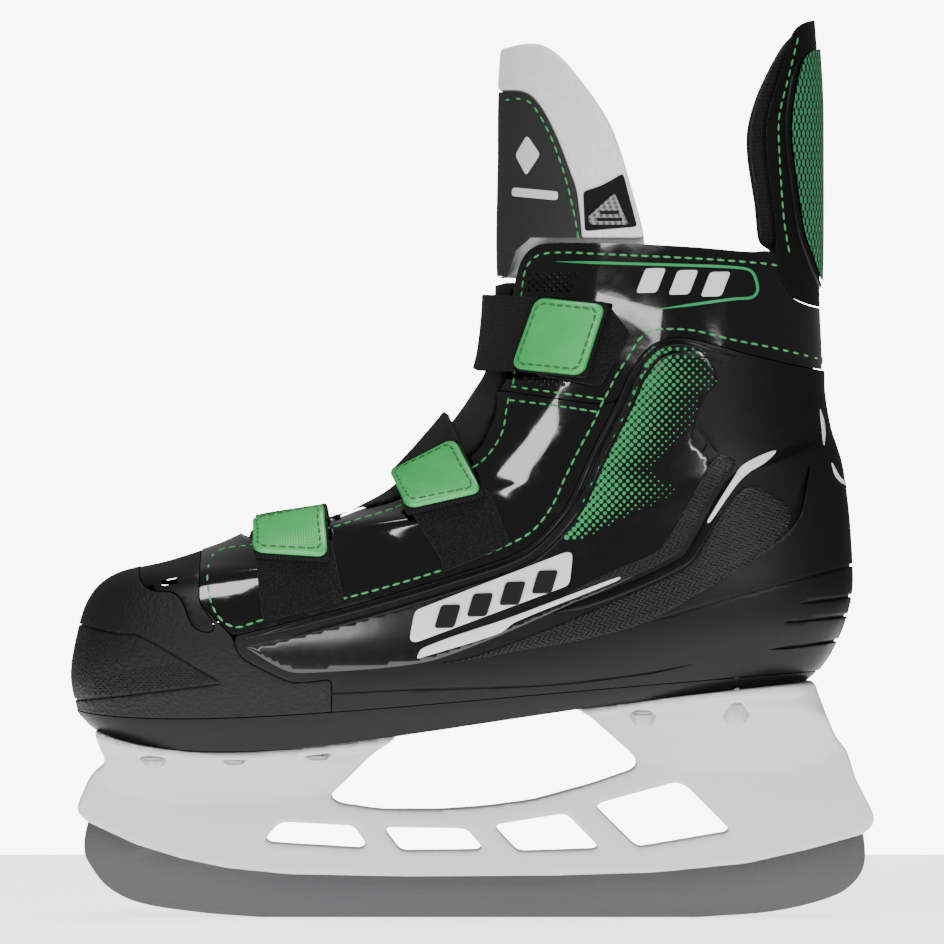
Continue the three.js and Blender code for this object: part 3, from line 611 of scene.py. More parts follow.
class Finish:
    def __init__(self, name, colour, roughness, **constants):
        self.material = bpy.data.materials.new(name)
        self.material.use_nodes = True
        self.tree = self.material.node_tree
        self.surface = self.tree.nodes["Principled BSDF"]
        self.surface.inputs["Base Color"].default_value = (*colour, 1)
        self.surface.inputs["Roughness"].default_value = roughness
        for key, value in constants.items():
            self.surface.inputs[key.replace("_", " ")].default_value = value
        self.colour, self.roughness = colour, roughness
        self.heights = []

    def node(self, kind, settings=None, inputs=None, output=0):
        made = self.tree.nodes.new(kind)
        for key, value in (settings or {}).items():
            setattr(made, key, value)
        for key, value in (inputs or {}).items():
            if isinstance(value, Wire):
                self.tree.links.new(value.socket, made.inputs[key])
            else:
                made.inputs[key].default_value = value
        return Wire(self, made.outputs[output])

    def place(self, stretch=(1, 1, 1), source="Object"):     # Object coordinates in millimetres
        where = self.node("ShaderNodeTexCoord", output=source)
        scale = [1000 * k for k in stretch]
        return self.node("ShaderNodeVectorMath", {"operation": "MULTIPLY"}, {0: where, 1: scale})

    def split(self, vector):
        made = self.tree.nodes.new("ShaderNodeSeparateXYZ")
        self.tree.links.new(vector.socket, made.inputs[0])
        return [Wire(self, out) for out in made.outputs]

    def noise(self, scale, detail=3, stretch=(1, 1, 1), source="Object", rough=0.5):
        return self.node("ShaderNodeTexNoise", {"noise_dimensions": "3D"},
                         {"Vector": self.place(stretch, source), "Scale": scale, "Detail": detail,
                          "Roughness": rough})

    def cells(self, scale, feature="F1", source="Object"):
        return self.node("ShaderNodeTexVoronoi", {"feature": feature},
                         {"Vector": self.place(source=source), "Scale": scale})

    def step(self, value, low, high):
        return self.node("ShaderNodeMapRange", {"interpolation_type": "SMOOTHSTEP"},
                         {"Value": value, "From Min": low, "From Max": high})

    def mix(self, factor, first, second):
        return self.node("ShaderNodeMix", {"data_type": "RGBA"}, {"Factor": factor, 6: self.rgba(first),
                                                                  7: self.rgba(second)}, output=2)

    def rgba(self, value):
        return value if isinstance(value, Wire) else (*value, 1)

    def bump(self, height, distance, strength=1.0):          # distance in millimetres
        inputs = {"Height": height, "Distance": distance * mm, "Strength": strength}
        if self.heights:
            inputs["Normal"] = self.heights[-1]
        self.heights.append(self.node("ShaderNodeBump", {}, inputs))
        self.to("Normal", self.heights[-1])
        return self

    def to(self, socket, value):
        self.tree.links.new(value.socket, self.surface.inputs[socket])
        return self

    def vary(self, scale=0.08, colour=0.12, rough=0.06):     # slow changes of tone and gloss
        tone = self.noise(scale, 4)
        darker, lighter = [[c * k for c in self.colour] for k in (1 - colour, 1 + colour)]
        self.to("Base Color", self.mix(tone, darker, lighter))
        self.to("Roughness", self.noise(scale * 6, 3) * (2 * rough) + (self.roughness - rough))
        return self


def pebbled():
    f = Finish("pebbled_cap", (0.0075, 0.0075, 0.008), 0.5, Specular_IOR_Level=0.22).vary(0.05, 0.12, 0.06)
    grain = f.cells(1.15, "SMOOTH_F1") * 0.7 + f.noise(2.2, 2) * 0.5
    return f.bump(grain, 0.32, 0.85).material


def moulded(name, colour, rough, grain=0.03, scale=2.5):
    f = Finish(name, colour, rough, Specular_IOR_Level=0.2).vary(0.06, 0.12, 0.05)
    return f.bump(f.noise(scale, 4), grain, 0.6).material


def patentLeather():
    f = Finish("patent_leather", (0.0015, 0.0015, 0.0017), 0.1, Coat_Weight=1.0, Coat_Roughness=0.03)
    f.to("Roughness", f.noise(0.4, 3) * 0.08 + 0.06)
    f.bump(f.noise(0.055, 2), 0.9, 0.4)
    return f.bump(f.noise(0.9, 2), 0.02, 0.5).material


def napped(name, colour, scale=2.4, depth=0.35, sheen=0.08):
    f = Finish(name, colour, 0.92, Sheen_Weight=sheen, Sheen_Roughness=0.5,
               Specular_IOR_Level=0.2).vary(0.5, 0.35, 0.05)
    hairs = f.noise(scale, 5, (1, 1, 0.55), rough=0.7) * 0.7 + f.cells(scale * 1.4) * 0.4
    return f.bump(hairs, depth, 0.9).material


def webbing():
    f = Finish("strap_webbing", (0.017, 0.0165, 0.0175), 0.85, Sheen_Weight=0.03, Specular_IOR_Level=0.15)
    along, across, _ = f.split(f.place(source="UV"))
    rib = ((across * 0.9).part() - 0.5).size() * 2
    twill = ((along + rib * 0.55) * 1.05).part()
    yarn = f.step((twill - 0.5).size(), 0.05, 0.48)
    fuzz = f.noise(3.5, 4, source="UV")
    tone = f.mix(yarn * 0.6 + fuzz * 0.4, (0.0015, 0.0015, 0.0017), (0.011, 0.011, 0.0117))
    f.to("Base Color", tone).to("Roughness", fuzz * 0.2 + 0.68)
    return f.bump(yarn * 0.8 + fuzz * 0.5, 0.28, 0.9).material


def looped():
    f = Finish("loop_pile", (0.011, 0.011, 0.012), 0.95, Sheen_Weight=0.05, Specular_IOR_Level=0.12)
    curls = f.cells(2.1) * 0.8 + f.noise(3.2, 5, rough=0.75) * 0.7
    f.to("Base Color", f.mix(f.step(curls, 0.45, 1.0), (0.0012, 0.0012, 0.0013), (0.011, 0.011, 0.0117)))
    return f.bump(curls, 0.5, 1.0).material


def tabPlastic():
    f = Finish("tab_green", (0.03, 0.4, 0.08), 0.36, Coat_Weight=0.25, Coat_Roughness=0.12)
    along, across, _ = f.split(f.place(source="UV"))
    weave = ((along + across) * 4.2).wave() * ((along - across) * 4.2).wave()
    tone = f.noise(0.12, 3, source="UV")
    f.to("Base Color", f.mix(tone, (0.022, 0.35, 0.07), (0.045, 0.46, 0.11)))
    f.to("Roughness", tone * 0.12 + 0.3)
    return f.bump(weave, 0.05, 0.5).material


def thread(name="stitch_green", colour=(0.035, 0.45, 0.1)):
    f = Finish(name, colour, 0.55, Sheen_Weight=0.2)
    x, y, z = f.split(f.place())
    twist = ((x + y + z) * 9.0).wave()
    f.to("Base Color", f.mix(twist * 0.5 + 0.5, [c * 0.55 for c in colour], colour))
    return f.bump(twist, 0.05, 0.8).material


def printInk(name, colour, rough=0.35):
    f = Finish(name, colour, rough, Specular_IOR_Level=0.2).vary(0.3, 0.05, 0.05)
    return f.bump(f.noise(1.6, 3), 0.015, 0.5).material


def glossPanel():
    f = Finish("gloss_panel", (0.0022, 0.0022, 0.0025), 0.2, Coat_Weight=0.4, Coat_Roughness=0.1)
    f.to("Roughness", f.noise(0.5, 4) * 0.1 + 0.12)
    return f.bump(f.noise(0.08, 2), 0.25, 0.3).material


def chevronWeave():
    f = Finish("chevron_panel", (0.005, 0.005, 0.0053), 0.4, Specular_IOR_Level=0.3)
    x, y, z = f.split(f.place())
    lane = (z - x * 0.3) * 0.42
    zigzag = (lane.part() - 0.5).size() * 3.4
    bar = ((x * 0.95 + z * 0.3 + zigzag) * 0.62).part()
    raised = f.step((bar - 0.5).size(), 0.1, 0.4)
    f.to("Base Color", f.mix(raised, (0.002, 0.002, 0.0022), (0.0065, 0.0065, 0.007)))
    f.to("Roughness", raised * 0.14 + 0.28)
    return f.bump(raised, 0.4, 0.9).material


def guardMesh():
    f = Finish("guard_mesh_green", (0.13, 0.5, 0.26), 0.4, Coat_Weight=0.15)
    x, y, z = f.split(f.place())
    aroundHeel = y.maths("ARCTAN2", x - 62.0) * 34.0
    row = z * 0.5
    odd = row.whole() * 0.5
    cell = ((aroundHeel * 0.52 + odd).part() - 0.5).size() * 2 * (((row.part() - 0.5).size()) * -1.1 + 1.25)
    hole = f.step(cell, 0.34, 0.5)
    fade = f.noise(0.05, 2)
    f.to("Base Color", f.mix(hole, (0.002, 0.006, 0.003),
                             f.mix(fade, (0.02, 0.2, 0.07), (0.045, 0.3, 0.13))))
    return f.bump(hole, 0.3, 0.8).material


def feltWhite():
    f = Finish("felt_white", (0.86, 0.86, 0.855), 0.95, Sheen_Weight=0.3, Subsurface_Weight=0.05)
    fibres = f.noise(1.1, 6, (1, 1, 0.5), rough=0.7)
    f.to("Base Color", f.mix(f.step(fibres, 0.3, 0.7), (0.8, 0.8, 0.8), (0.93, 0.93, 0.925)))
    return f.bump(fibres, 0.25, 0.6).material


def finedLeather(name, colour, rough=0.5):
    f = Finish(name, colour, rough).vary(0.1, 0.1, 0.05)
    creases = f.cells(1.7, "DISTANCE_TO_EDGE")
    return f.bump(f.step(creases, 0.0, 0.16) + f.noise(3.0, 3) * 0.4, 0.07, 0.6).material


def knitLining(name, colour):
    f = Finish(name, colour, 0.93, Sheen_Weight=0.08, Specular_IOR_Level=0.2)
    x, y, z = f.split(f.place())
    stitchRow = ((z * 0.9).part() - 0.5).size()
    knit = ((x + y) * 5.4 + (z * 0.9).whole() * 1.6).wave() * 0.35 + stitchRow
    fuzz = f.noise(2.6, 4)
    f.to("Base Color", f.mix(f.step(knit + fuzz * 0.5, 0.1, 0.9), [c * 0.5 for c in colour],
                             [c * 1.7 for c in colour]))
    return f.bump(knit + fuzz, 0.25, 0.8).material


def brushedSteel(name, colour=(0.075, 0.075, 0.077), rough=0.42, lines=(0.06, 1, 2.6)):
    f = Finish(name, colour, rough, Metallic=1.0)
    strokes = f.noise(3.0, 5, lines, rough=0.65)
    speckle = f.noise(1.3, 4)
    f.to("Base Color", f.mix(strokes * 0.6 + speckle * 0.4, [c * 0.72 for c in colour],
                             [c * 1.3 for c in colour]))
    f.to("Roughness", strokes * 0.22 + (rough - 0.11))
    return f.bump(strokes, 0.03, 0.6).material


def holderWhite():
    f = Finish("holder_white", (0.56, 0.562, 0.568), 0.3, Coat_Weight=0.15, Coat_Roughness=0.15)
    f.vary(0.05, 0.012, 0.05)
    return f.bump(f.noise(0.5, 4), 0.02, 0.5).material


def fibreBoard():
    f = Finish("pressed_board", (0.22, 0.16, 0.1), 0.9).vary(0.6, 0.3, 0.04)
    return f.bump(f.noise(1.2, 6, (1, 0.3, 1), rough=0.7), 0.12, 0.7).material


looks = {
    "pebbled": pebbled(),
    "vent": moulded("vent_plastic", (0.005, 0.005, 0.0053), 0.4, 0.03),
    "shell": moulded("shell_plastic", (0.0045, 0.0045, 0.0048), 0.36, 0.04, 1.8),
    "sole": moulded("sole_plastic", (0.0042, 0.0042, 0.0045), 0.42, 0.06, 1.5),
    "bead": moulded("bead_plastic", (0.003, 0.003, 0.0032), 0.22, 0.02),
    "guard": moulded("guard_plastic", (0.0045, 0.0045, 0.0048), 0.36, 0.05, 2.2),
    "patent": patentLeather(),
    "gloss": glossPanel(),
    "chevron": chevronWeave(),
    "mesh": guardMesh(),
    "webbing": webbing(),
    "loop": looped(),
    "tab": tabPlastic(),
    "thread": thread(),
    "threadDark": thread("stitch_dark_green", (0.008, 0.14, 0.028)),
    "white": printInk("print_white", (0.72, 0.72, 0.72)),
    "green": printInk("print_green", (0.02, 0.3, 0.09), 0.32),
    "dots": printInk("dots_green", (0.02, 0.26, 0.075), 0.4),
    "felt": feltWhite(),
    "cover": finedLeather("cover_grain", (0.011, 0.0115, 0.012), 0.6),
    "label": knitLining("label_weave", (0.2, 0.2, 0.205)),
    "dark": printInk("print_dark", (0.004, 0.004, 0.004), 0.5),
    "pad": knitLining("pad_knit", (0.004, 0.004, 0.0043)),
    "lining": napped("lining_nap", (0.006, 0.0063, 0.007), 1.8, 0.2),
    "tongue": napped("tongue_fabric", (0.006, 0.006, 0.0064), 1.6, 0.14, 0.06),
    "bed": knitLining("footbed_cloth", (0.012, 0.0126, 0.014)),
    "board": fibreBoard(),
    "steel": brushedSteel("runner_steel"),
    "fastener": brushedSteel("fastener_steel", (0.3, 0.3, 0.305), 0.34, (1, 1, 1)),
    "holder": holderWhite(),
}
print("finishes ready")


# ---- seam lines of the upper, side view, from toe to heel ----
seams = {
    "rim": [[-65, 78.2], [-46.6, 83], [-24.9, 88.9], [-4.2, 95.2], [10.5, 100.1], [16.7, 103.9],
            [23, 110.4],
            [27.1, 116.4], [32.8, 128.9], [39.6, 142.3]],
    "rimTop": [[39.6, 142.3], [43.4, 150.7], [48.6, 157.2], [54.5, 159.4], [60.8, 158.8], [77.9, 154.2],
               [98.9, 149.9], [115, 149.9]],
    "capBack": [[-38, 66.8], [-48.6, 65.8], [-54, 68], [-63, 73], [-65, 78.2]],
    "waist": [[39.6, 142.3], [34.7, 141.4], [19.4, 143.3], [6.7, 145]],
    "throatLow": [[6.7, 139], [3.7, 132.2], [0.8, 127.8], [-19.4, 115.3], [-30.9, 111.8], [-37.1, 109.3],
                  [-60, 104.2], [-63, 104.6], [-66, 112]],
    "throatHigh": [[21.4, 185.3], [17.5, 184.7], [13.7, 181.2], [11.8, 175.2], [11, 169.7], [9.4, 149.3],
                   [8, 145]],
    "collar": [[82.4, 183.5], [77.9, 182.8], [62.2, 184.1], [40.4, 185.2], [21.4, 185.3]],
    "guard": [[115, 167], [98, 167], [88, 170], [84, 176], [82.4, 183.5]],
}

# ---- toe cap ----
toeCap = {
    "crease": [[-112, 80.6], [-105.1, 80.1], [-97.3, 78.6], [-91.1, 78.2], [-68.2, 65.7]],
    "low": [[-112, 59.2], [-105.7, 60.3], [-68.2, 65.4]],
    "wedge": [[-103.4, 65.2], [-91, 69.2], [-79.8, 71.2], [-68.4, 65.8], [-86, 63.4], [-103.8, 61.3]],
    "creaseWidth": 0.7,
    "creaseDepth": 0.6,
    "ventSlots": [[[-84.6, 92.4], [-80.4, 93.2]], [[-88.5, 90.9], [-86.6, 91.3]]],
}


def carve(thing, lines, width, depth, taper=0.0, surface=0.0):
    for line in lines:
        cutter = combine(layer(surface + 1.5, surface - depth), prism(ribbon(line, width, taper=taper)),
                         "INTERSECT")
        combine(thing, cutter, "DIFFERENCE")
    return thing


ventOutline = outline([[-91.1, 112], [-91.1, 93.8]], [[-91.1, 93.8], [-88.3, 90.7], [-81.2, 90.3]],
                      [[-81.2, 90.3], [-78.6, 87.2], [-76.6, 81.9], [-74.4, 79.7], [-69.9, 79.3]],
                      [[-69.9, 79.3], [-70.3, 82.2], [-74, 86.6]], [[-74, 86.6], [-74, 112]])
capOutline = outline([[-118, 40], [-38.5, 40]], [[-38.5, 40], [-38, 66.8]], seams["capBack"],
                     [[-65, 78.2], [-74.2, 87.4]], [[-74.2, 87.4], [-74.2, 112]],
                     [[-74.2, 112], [-118, 112]])
cap = shellPiece("toeCap", 0, -upperWall, capOutline)
combine(cap, prism(inset(ventOutline, -gap / 2)), "DIFFERENCE")
carve(cap, [toeCap["crease"], toeCap["low"]], toeCap["creaseWidth"], toeCap["creaseDepth"], 0.06)
place(softEdges(cap, 0.3), "boot", looks["pebbled"], ["toe_cap"])

vent = shellPiece("toeVentPlate", -0.2, -upperWall, ventOutline)
combine(vent, prism(inset(capOutline, gap / 2)), "INTERSECT")
for slotLine in toeCap["ventSlots"]:
    combine(vent, prism(ribbon(slotLine, 1.5)), "DIFFERENCE")
place(softEdges(vent, 0.3), "boot", looks["vent"], ["toe_vent_plate"])
print("toe cap made")

# ---- lower shell, its grooves, beads and panels ----
shell = {
    "ribs": [[[115, 98.6], [104.9, 96.9], [76, 89.8], [48.6, 82.1]],
             [[115, 89.4], [104.5, 88.4], [89.8, 86.8]],
             [[115, 83.8], [102.1, 83], [85.3, 81.7]], [[115, 77.6], [100.4, 76.2], [81.6, 74.2]]],
    "creases": [[[-43, 62.6], [-19.4, 63.8], [20, 65], [48.3, 68.1], [60, 70.4]],
                [[64, 130.4], [58.5, 122.4], [52.6, 106.4]],
                [[66.7, 128.3], [61, 135.2]]],
    "scoop": [[92.4, 124.6], [91, 119], [88.6, 111.4], [84.6, 105.5], [78.6, 100.6]],
    "capCrease": [[-60.3, 71.4], [-52, 65.6], [-40, 63.6]],
    "bead": [[22, 84.6], [38, 89.6], [57.4, 98.4], [60.8, 102.8], [69.2, 118], [74.6, 123.2],
             [93.6, 130.3]],
    "stripe": [[-15.2, 72.3], [7.6, 79.3], [11.6, 82.2], [40.2, 93.7], [40.4, 94.6], [10.6, 83.6],
               [-13.6, 75.2]],
    "accent": [[63.4, 109.1], [70.2, 120.4], [73.8, 124.9], [82.4, 128.6], [79.6, 125.4], [74.6, 122.4],
               [71.4, 119.2], [64.1, 108.7]],
    "heelAccents": [[[97.8, 124.9], [99.6, 120.9], [103.2, 117.9]],
                    [[94.6, 139.6], [95.5, 134.6], [95.7, 129.6]]],
    "badge": [[-15.6, 85.4], [-17.2, 77.2], [-15.8, 76.6], [26.4, 92.2], [27.3, 101.2], [25.8, 101.4]],
    "gloss": [[-61.4, 75.4], [-50.6, 69.2], [-44, 68.6], [-14, 71.2], [2, 76.4], [24, 85.8], [44.6, 95],
              [52.4, 101.4], [57.2, 109], [62.6, 118.6], [64.4, 126], [60, 131], [62.2, 141.4],
              [66.6, 147.6],
              [62.6, 155.2], [55.2, 155.8], [50.4, 154], [46.4, 148], [36, 128.6], [30.2, 115.4],
              [25.6, 108.2],
              [18.6, 101.2], [12, 97], [-3, 91.6], [-24, 85.2], [-46, 79.4]],
    "weaveLow": [[-9.4, 70.6], [2, 73.4], [24, 81.6], [44, 90.2], [58.8, 97.2], [62.6, 102.4], [68.6, 113],
                 [75, 119], [84.4, 114.6], [86.8, 109.8], [83, 104.4], [77, 99], [66, 92.4], [49, 82.9],
                 [35.1, 78.4],
                 [12, 74.2]],
    "weaveHigh": [[14, 83.4], [36.4, 91.6], [54.8, 99.9], [58.6, 105], [66.8, 119.6], [72, 125.2],
                  [66.6, 127.6],
                  [60.6, 118], [54.4, 106.8], [50, 101.4], [36, 95.2]],
}
shellOutline = outline(seams["rim"], seams["rimTop"], [[115, 149.9], [115, 40]], [[115, 40], [-38.5, 40]],
                       [[-38.5, 40], [-38, 66.8]], seams["capBack"])
lower = shellPiece("lowerShell", shellProud, -upperWall, shellOutline)
carve(lower, shell["ribs"], 1.0, 0.8, 0.12, shellProud)
carve(lower, shell["creases"] + [shell["capCrease"]], 0.6, 0.5, 0.1, shellProud)
carve(lower, [shell["scoop"]], 2.6, 1.3, 0.5, shellProud)
place(softEdges(lower, 0.35), "boot", looks["shell"], ["lower_shell"])


def beadOn(name, line, width, base, top):
    return bothSides(name, evenly(ribbon(line, width, taper=0.08), 0.7, True), base, top,
                     rim=min(0.45, top - base))


def along(line, distance, start=0.0, end=1.0):           # the line moved sideways in the side view
    path = evenly(smoothRun(line), 1.5)
    way = np.gradient(path, axis=0)
    way /= np.linalg.norm(way, axis=1, keepdims=True)
    path = path + np.stack([way[:, 1], -way[:, 0]], -1) * distance
    return path[int(start * len(path)):max(int(end * len(path)), 2)]


rimLine = seams["rim"] + seams["rimTop"][1:6]
for name, line, width, top in (("rimBeadOuter", along(rimLine, 1.5, 0.02, 0.97), 1.5, 1.5),
                               ("rimBeadInner", along(rimLine, 4.1, 0.03, 0.95), 1.3, 1.35),
                               ("sideBead", shell["bead"], 2.6, 1.6)):
    place(beadOn(name, line, width, 0.5, top), "boot", looks["bead"])
place(bothSides("glossPanel", outline(shell["gloss"] + shell["gloss"][:1], step=0.6), 0.5, 1.12, 0.06, 1.3),
      "boot",
      looks["gloss"])
for name, points in (("chevronLow", shell["weaveLow"]), ("chevronHigh", shell["weaveHigh"])):
    place(bothSides(name, outline(points + points[:1]), 0.5, 1.3, 0.25, 1.3), "boot",
          looks["chevron"])
for name, points in (("whiteStripe", shell["stripe"]), ("whiteAccent", shell["accent"])):
    marks = [patch(name, [outline(points + points[:1], step=0.7, rounding=1)], sides[s], 0.9,
                   1.8 if "Acc" in name
                   else 1.45, 0.12, 1.2) for s in both]
    place(join(name, marks), "boot", looks["white"])
heelMarks = [patch("heelMark", [evenly(ribbon(line, 0.9, taper=0.3), 0.6, True)], sides[s], 0.6, 1.0, 0.1)
             for s in both for line in shell["heelAccents"]]
place(join("heelAccents", heelMarks), "boot", looks["white"])
badge = softened(shell["badge"], 3, 0.8)
place(bothSides("sideBadge", badge, 0.9, 1.6, 0.2), "boot", looks["white"])
print("lower shell made")

# ---- patent upper ----
vampOutline = outline(seams["rim"], seams["waist"], seams["throatLow"], [[-66, 112], [-74.2, 112]],
                      [[-74.2, 112], [-74.2, 87.4]], [[-74.2, 87.4], [-65, 78.2]])
place(shellPiece("vampUpper", 0, -upperWall, vampOutline), "boot", looks["patent"], ["vamp"])
quarterOutline = outline(seams["waist"][::-1], seams["rimTop"], [[115, 149.9], [115, 167]], seams["guard"],
                         seams["collar"], seams["throatHigh"], [[8, 145], [6.7, 145]])
quarter = shellPiece("ankleQuarter", 0, -upperWall, quarterOutline)
place(quarter, "boot", looks["patent"], ["ankle_quarter"])

# ---- tendon guard, its mesh and pad ----
guard = {
    "front": [[82.4, 183.5], [83, 186], [82.1, 194.5], [80.9, 203], [80.1, 211], [80.4, 219.5], [83, 228.6],
              [88.8, 244.4], [93.2, 246.4]],
    "mesh": [[96.4, 173.5], [92.6, 183.3], [90.9, 188.2], [89.2, 198.6], [88, 207], [87.2, 215.4],
             [87.6, 222],
             [89.2, 231.2], [91.3, 236.6], [94.2, 238.6]],
    "pad": [[82.4, 183.5], [79.2, 184.2], [77.9, 194.5], [75.5, 213.2], [77.7, 224.1], [82.6, 235],
            [86.4, 241],
            [91, 244.6]],
    "meshWall": 0.7,
    "padWall": 5.7,
}
guardOutline = outline(seams["guard"], guard["front"], [[93.2, 246.4], [115, 246.4]],
                       [[115, 246.4], [115, 167]])
place(softEdges(shellPiece("tendonGuard", 0, -upperWall, guardOutline), 0.5), "guard",
      looks["guard"], ["tendon_guard"])
meshOutline = outline([[115, 173.5], [96.4, 173.5]], guard["mesh"], [[94.2, 238.6], [115, 238.6]],
                      [[115, 238.6], [115, 173.5]], rounding=3)
meshPiece = shellPiece("guardMeshInsert", gap + guard["meshWall"], gap - 0.5, meshOutline)
place(softEdges(meshPiece, 0.25), "guard", looks["mesh"], ["guard_mesh_insert"])
lip = beadOn("guardLip", along(guard["mesh"], -1.3, 0.02, 0.93), 1.4, -0.4, 0.75)
place(lip, "guard", looks["guard"])
padOutline = outline(seams["guard"], guard["pad"], [[91, 244.6], [115, 244.6]], [[115, 244.6], [115, 167]])
pad = shellPiece("achillesPad", liningTop, liningTop - guard["padWall"], padOutline)
place(plump(pad, 0.9, 8), "guard", looks["pad"], ["achilles_pad"], crease=0)
print("upper made")

# ---- sole ----
sole = {
    "bottom": [-105.5, 53.6, 91.5, 65, 9.3, 32, 27.5, 24.5],
    "board": 2.0,
    "bed": 3.5,
    "heelSeat": 73.6,
    "heelSeatFront": 35,
}


def soleHeight(x):
    frontX, frontZ, backX, backZ, dip = sole["bottom"][:5]
    s = np.clip((np.asarray(x, float) - frontX) / (backX - frontX), 0, 1)
    return frontZ + (backZ - frontZ) * s - dip * dipShape(s)


def solePlan(turn):
    frontX, frontZ, backX, backZ, dip, ball, waist, heel = sole["bottom"]
    cosine = np.cos(2 * math.pi * turn)
    s = (1 - cosine) / 2
    rounded = np.maximum(0, 1 - np.abs(cosine) ** last["footRoundness"]) ** (1 / last["footRoundness"])
    x = frontX + (backX - frontX) * s
    swing = last["toeSwing"] * np.maximum(0, 1 - np.clip((x + 110) / 205, 0, 1) / 0.3) ** 2
    y = np.where(turn < 0.5, 1, -1) * widthAlong(s, ball, waist, heel) * rounded + swing
    return np.stack([x, y, soleHeight(x)], -1)


soleTurns = np.arange(200) / 200
edge = lastPoints(0, soleTurns)
underside = solePlan(soleTurns)
profile = [(0, -0.6, -1.4), (0, 0, -0.3), (0, 0.05, 0.1), (0.3, 0.3, 0.3), (0.62, 0.62, 0.5),
           (0.86, 0.86, 0.25), (1, 1, 0)]
soleRings = [underside * [0.94, 0.9, 1]]
for upShare, outShare, bulge in profile[1:]:
    ring = underside + (edge - [0, 0, gap] - underside) * upShare
    sideways = underside + (edge - underside) * outShare
    ring[:, :2] = sideways[:, :2] + layerNormals(0, soleTurns)[:, :2] * bulge
    soleRings.append(ring)
outsole = loft("outsoleBody", soleRings)
place(outsole, "boot", looks["sole"], ["outsole"], crease=55)


def bedTop(points):
    plain = points[:, 2] + sole["board"] + gap + sole["bed"]
    blend = np.clip((sole["heelSeatFront"] - points[:, 0]) / 40, 0, 1)
    return sole["heelSeat"] + (plain - sole["heelSeat"]) * blend


def edgeRing(offset, heights):
    ring = layerPoints(0, soleTurns, np.full(len(soleTurns), float(offset)))
    ring[:, 2] = heights
    return ring


bedBottom = edge[:, 2] + sole["board"] + gap
bedRings = [edgeRing(liningTop - gap - 0.6, bedBottom), edgeRing(liningTop - gap, bedBottom + 0.8),
            edgeRing(liningTop - gap, bedTop(edge) - 0.9),
            edgeRing(liningTop - gap - 0.5, bedTop(edge) - 0.2),
            edgeRing(liningTop - gap - 1.4, bedTop(edge))]
footbed = loft("footbedFoam", bedRings)
place(footbed, "boot", looks["bed"], ["footbed"], crease=60)

# ---- lining and tongue ----
tongue = {
    "back": [[-66, 98], [-40, 98], [-22, 103], [-4, 113], [10, 125], [22, 142], [28, 160]],
    "pad": 4.0,
    "felt": 6.4,
    "feltSink": 0.4,
    "cover": 2.0,
    "coverSink": 0.6,
    "collarPlay": 2.4,
    "edge": [[47.8, 175.4], [47, 186.3], [41.8, 205.9], [39.7, 212.6], [37.2, 218.4], [33, 225.1],
             [28.9, 230.5],
             [24.8, 235.5], [20.5, 238.8], [18.1, 239.7], [13.1, 239.6], [9.3, 238.6], [-20, 236]],
    "coverEdge": [[30.2, 176], [29.7, 186], [28.1, 200.1], [26.8, 203.5], [24.8, 209.2], [22.2, 215.5],
                  [19.7, 220.5], [16.4, 225.1], [13.9, 226.3], [9.3, 226.6], [-20, 225.3]],
    "collarZone": [[8, 160], [60, 160], [60, 186.6], [16, 186.6], [12, 183], [10, 177], [8, 170]],
    "linerWall": 3.6,
}
linerOutline = outline([[115, 40], [-66, 40]], [[-66, 40], [-66, 98]], tongue["back"],
                       [[28, 160], [32, 171.5]],
                       [[32, 171.5], [49.6, 173.5]], [[49.6, 173.5], [50, 183.6]],
                       [[50, 183.6], [62.2, 183.2], [77.9, 182], [80.6, 182.4]],
                       [[80.6, 182.4], [84, 176], [88, 170], [98, 167], [115, 167]],
                       [[115, 167], [115, 40]])
liner = shellPiece("bootLiner", liningTop, liningTop - tongue["linerWall"], linerOutline, gap)
bedBlock = loft("bedBlock", [edgeRing(4, edge[:, 2] - 20), edgeRing(4, bedTop(edge) + gap)])
combine(liner, bedBlock, "DIFFERENCE")
place(plump(liner, 1.15, 4), "boot", looks["lining"], ["boot_liner"], crease=0)

lowPart = shellPiece("tongueLower", liningTop, liningTop - tongue["pad"],
                     outline(tongue["back"], [[28, 160], [32, 174.4]], [[32, 174.4], [-20, 174.4]],
                             [[-20, 174.4], [-66, 130]], [[-66, 130], [-66, 98]]))
opening = outline(seams["throatLow"][:-1], [[-63, 104.6], [-66, 130]],
                  [[-66, 130], [-40, 150], [-20, 174.2]],
                  [[-20, 174.2], [11.4, 174.2]], [[11.4, 174], [11, 169.7], [9.4, 149.3], [8, 145],
                                                  [6.7, 139]])
hump = shellPiece("hump", 0, liningTop - 1, opening, 2 * gap)
combine(hump, prism(np.array([[-61, 60], [60, 60], [60, 174.2], [-61, 174.2]])), "INTERSECT")
combine(lowPart, hump, "UNION")
place(plump(lowPart, 0.8, 5), "boot", looks["tongue"], ["tongue_lower"], crease=0)

feltOutline = outline([[-20, 175.4], [47.8, 175.4]], tongue["edge"], [[-20, 236], [-20, 175.4]])
coverOutline = outline([[-20, 176], [30.2, 176]], tongue["coverEdge"], [[-20, 225.3], [-20, 176]])
coverBase = -tongue["coverSink"] - tongue["cover"]


def collarBed():
    return combine(layer(6, -upperWall - tongue["collarPlay"]), prism(np.array(tongue["collarZone"])),
                   "INTERSECT")


felt = shellPiece("tongueFelt", -tongue["feltSink"], -tongue["feltSink"] - tongue["felt"], feltOutline, 0)
combine(felt, combine(layer(6, coverBase - gap), prism(inset(coverOutline, -gap)), "INTERSECT"),
        "DIFFERENCE")
combine(felt, collarBed(), "DIFFERENCE")
place(plump(felt, 0.75, 7), "tongue_top", looks["felt"], ["tongue_felt"], crease=0)
cover = combine(shellPiece("tongueCover", -tongue["coverSink"], coverBase, coverOutline, 0), collarBed(),
                "DIFFERENCE")
place(softEdges(cover, 0.5), "tongue_top", looks["cover"], ["tongue_cover"])

